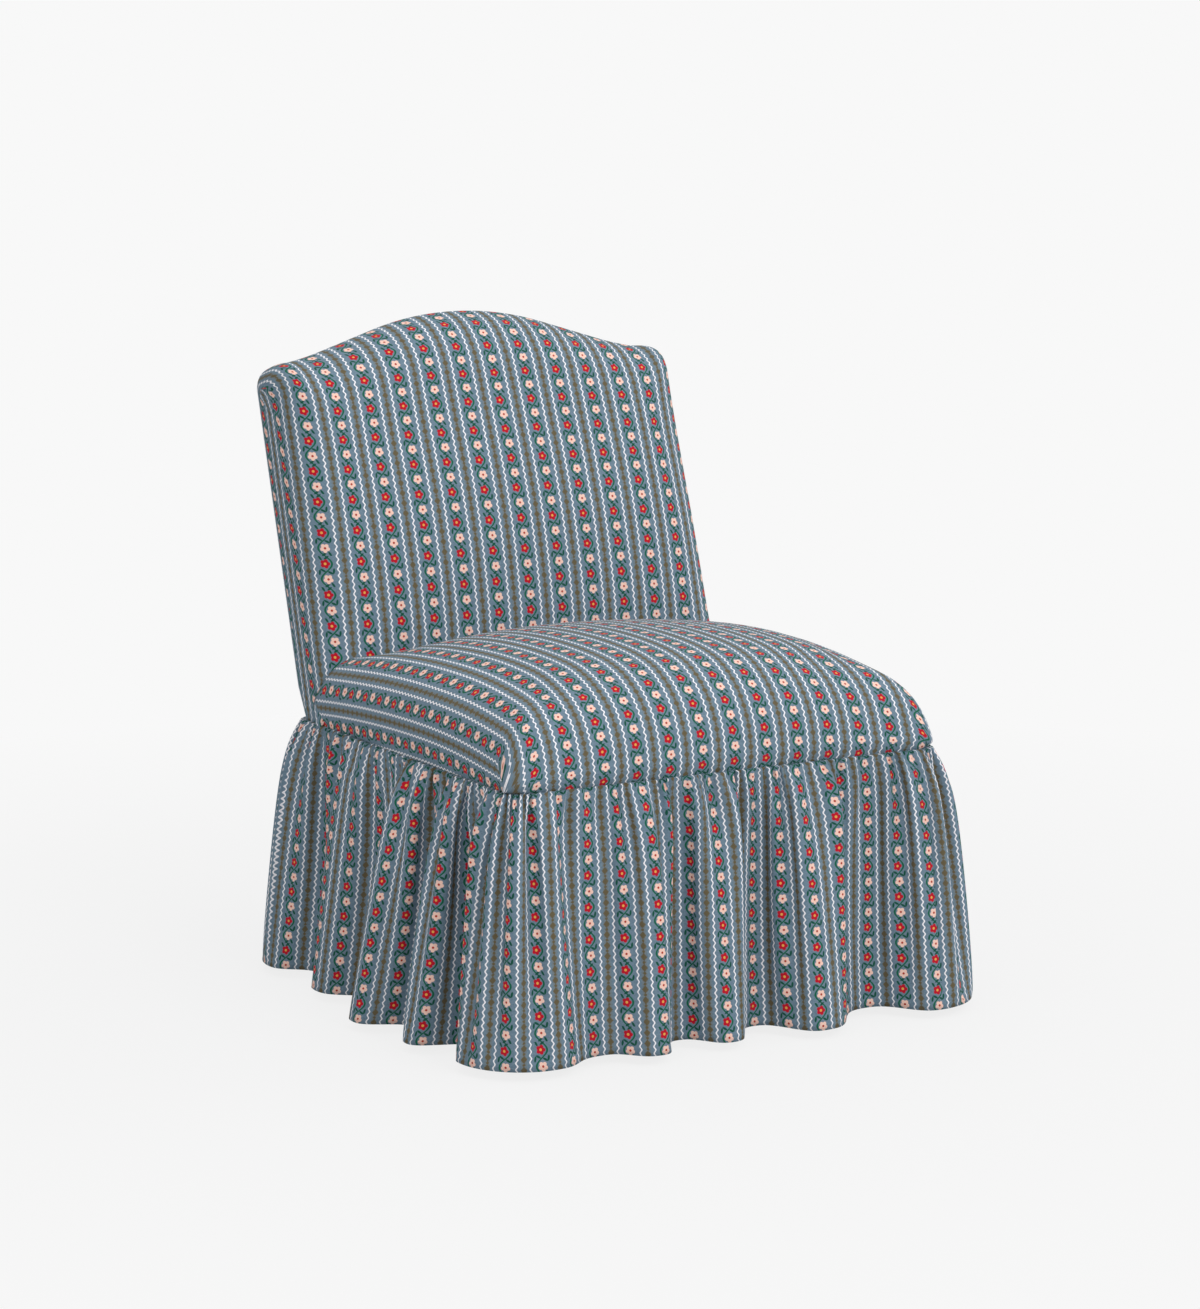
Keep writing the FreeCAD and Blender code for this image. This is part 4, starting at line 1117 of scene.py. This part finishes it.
def make_staples(places, height):
    """Staples as small bars. Each row of places holds x, y and half its size along x and along y."""
    corners = np.indices((2, 2, 2)).reshape(3, 8).T * 2 - 1
    sides = np.array([(0, 1, 3, 2), (4, 6, 7, 5), (0, 4, 5, 1), (2, 3, 7, 6), (0, 2, 6, 4), (1, 5, 7, 3)])
    count = len(places)
    spots = np.column_stack([places[:, :2], np.full(count, height)])
    halves = np.column_stack([places[:, 2:], np.full(count, 0.0005)])
    verts = (spots[:, None] + corners[None] * halves[:, None]).reshape(-1, 3)
    faces = (sides[None] + 8 * np.arange(count)[:, None, None]).reshape(-1, 4)
    mesh = bpy.data.meshes.new("staples")
    mesh.from_pydata(verts.tolist(), [], faces.tolist())
    wire = {"Base Color": srgb(176, 176, 178), "Metallic": 1.0, "Roughness": 0.35}
    set_material(mesh, new_material("staple_wire").finish(wire))
    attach(add_object("staples", mesh), "root")


# Surroundings

def make_stage():
    """Pale floor that keeps the chair's shadow and fades into the pale surroundings."""
    shader = new_material("pale_floor")
    ray = shader.node("LightPath")
    place = shader.node("VectorMath", {"operation": "LENGTH"}, [shader.place()], "Value")
    far = ((place - 0.5) / 1.5).clamp()
    paper = shader.node("BsdfDiffuse", {}, {"Color": srgb(214, 214, 214)})
    glow = shader.node("Emission", {}, {"Color": pale, "Strength": 1.0})
    surface = shader.node("MixShader", {}, [ray * (far * 0.12 + 0.88), paper, glow])
    shader.node("OutputMaterial", {}, {"Surface": surface})
    size = 14.0
    mesh = bpy.data.meshes.new("floor")
    corners = [(-size, -size, 0), (size, -size, 0), (size, size, 0), (-size, size, 0)]
    mesh.from_pydata(corners, [], [(0, 1, 2, 3)])
    set_material(mesh, shader.owner)
    add_object("floor", mesh)


def make_surroundings():
    """Pale surroundings that light the chair at a little over half of how bright they look."""
    world = bpy.data.worlds.new("studio")
    scene.world = world
    shader = Shader(world)
    strength = shader.node("LightPath") * 0.46 + 0.54
    background = shader.node("Background", {}, {"Color": pale, "Strength": strength})
    shader.node("OutputWorld", {}, {"Surface": background})


def add_lamp(name, place, size, power, target=(0, 0, 0.4)):
    """A square lamp at place that shines on target."""
    lamp = bpy.data.lights.new(name, "AREA")
    lamp.shape = "SQUARE"
    lamp.size = size
    lamp.energy = power
    holder = add_object(name, lamp)
    holder.location = place
    holder.rotation_mode = "QUATERNION"
    holder.rotation_quaternion = (Vector(target) - Vector(place)).to_track_quat("-Z", "Y")


def make_camera():
    """Camera at the photograph's viewing angle."""
    turn, rise = math.radians(-29.8), math.radians(9.6)
    back = Vector((math.sin(turn) * math.cos(rise), -math.cos(turn) * math.cos(rise), math.sin(rise)))
    lens = bpy.data.cameras.new("camera")
    lens.lens = 103.6
    lens.sensor_width = 36.0
    camera = add_object("camera", lens)
    camera.location = (-2.4445, -4.2848, 1.2754)
    camera.rotation_mode = "QUATERNION"
    camera.rotation_quaternion = (-back).to_track_quat("-Z", "Y")
    bpy.context.scene.camera = camera


make_chair()
make_dust_cover()
make_stage()
make_surroundings()
add_lamp("front_light", (0.9, -3.4, 3.7), 2.4, 92.0)
add_lamp("side_light", (3.4, -1.0, 2.2), 2.4, 26.0)
add_lamp("left_light", (-3.2, -1.8, 1.4), 2.4, 14.0, (0, 0, 0.3))
add_lamp("top_light", (-0.4, 0.4, 3.6), 2.6, 22.0)
make_camera()

scene.view_settings.view_transform = "Standard"
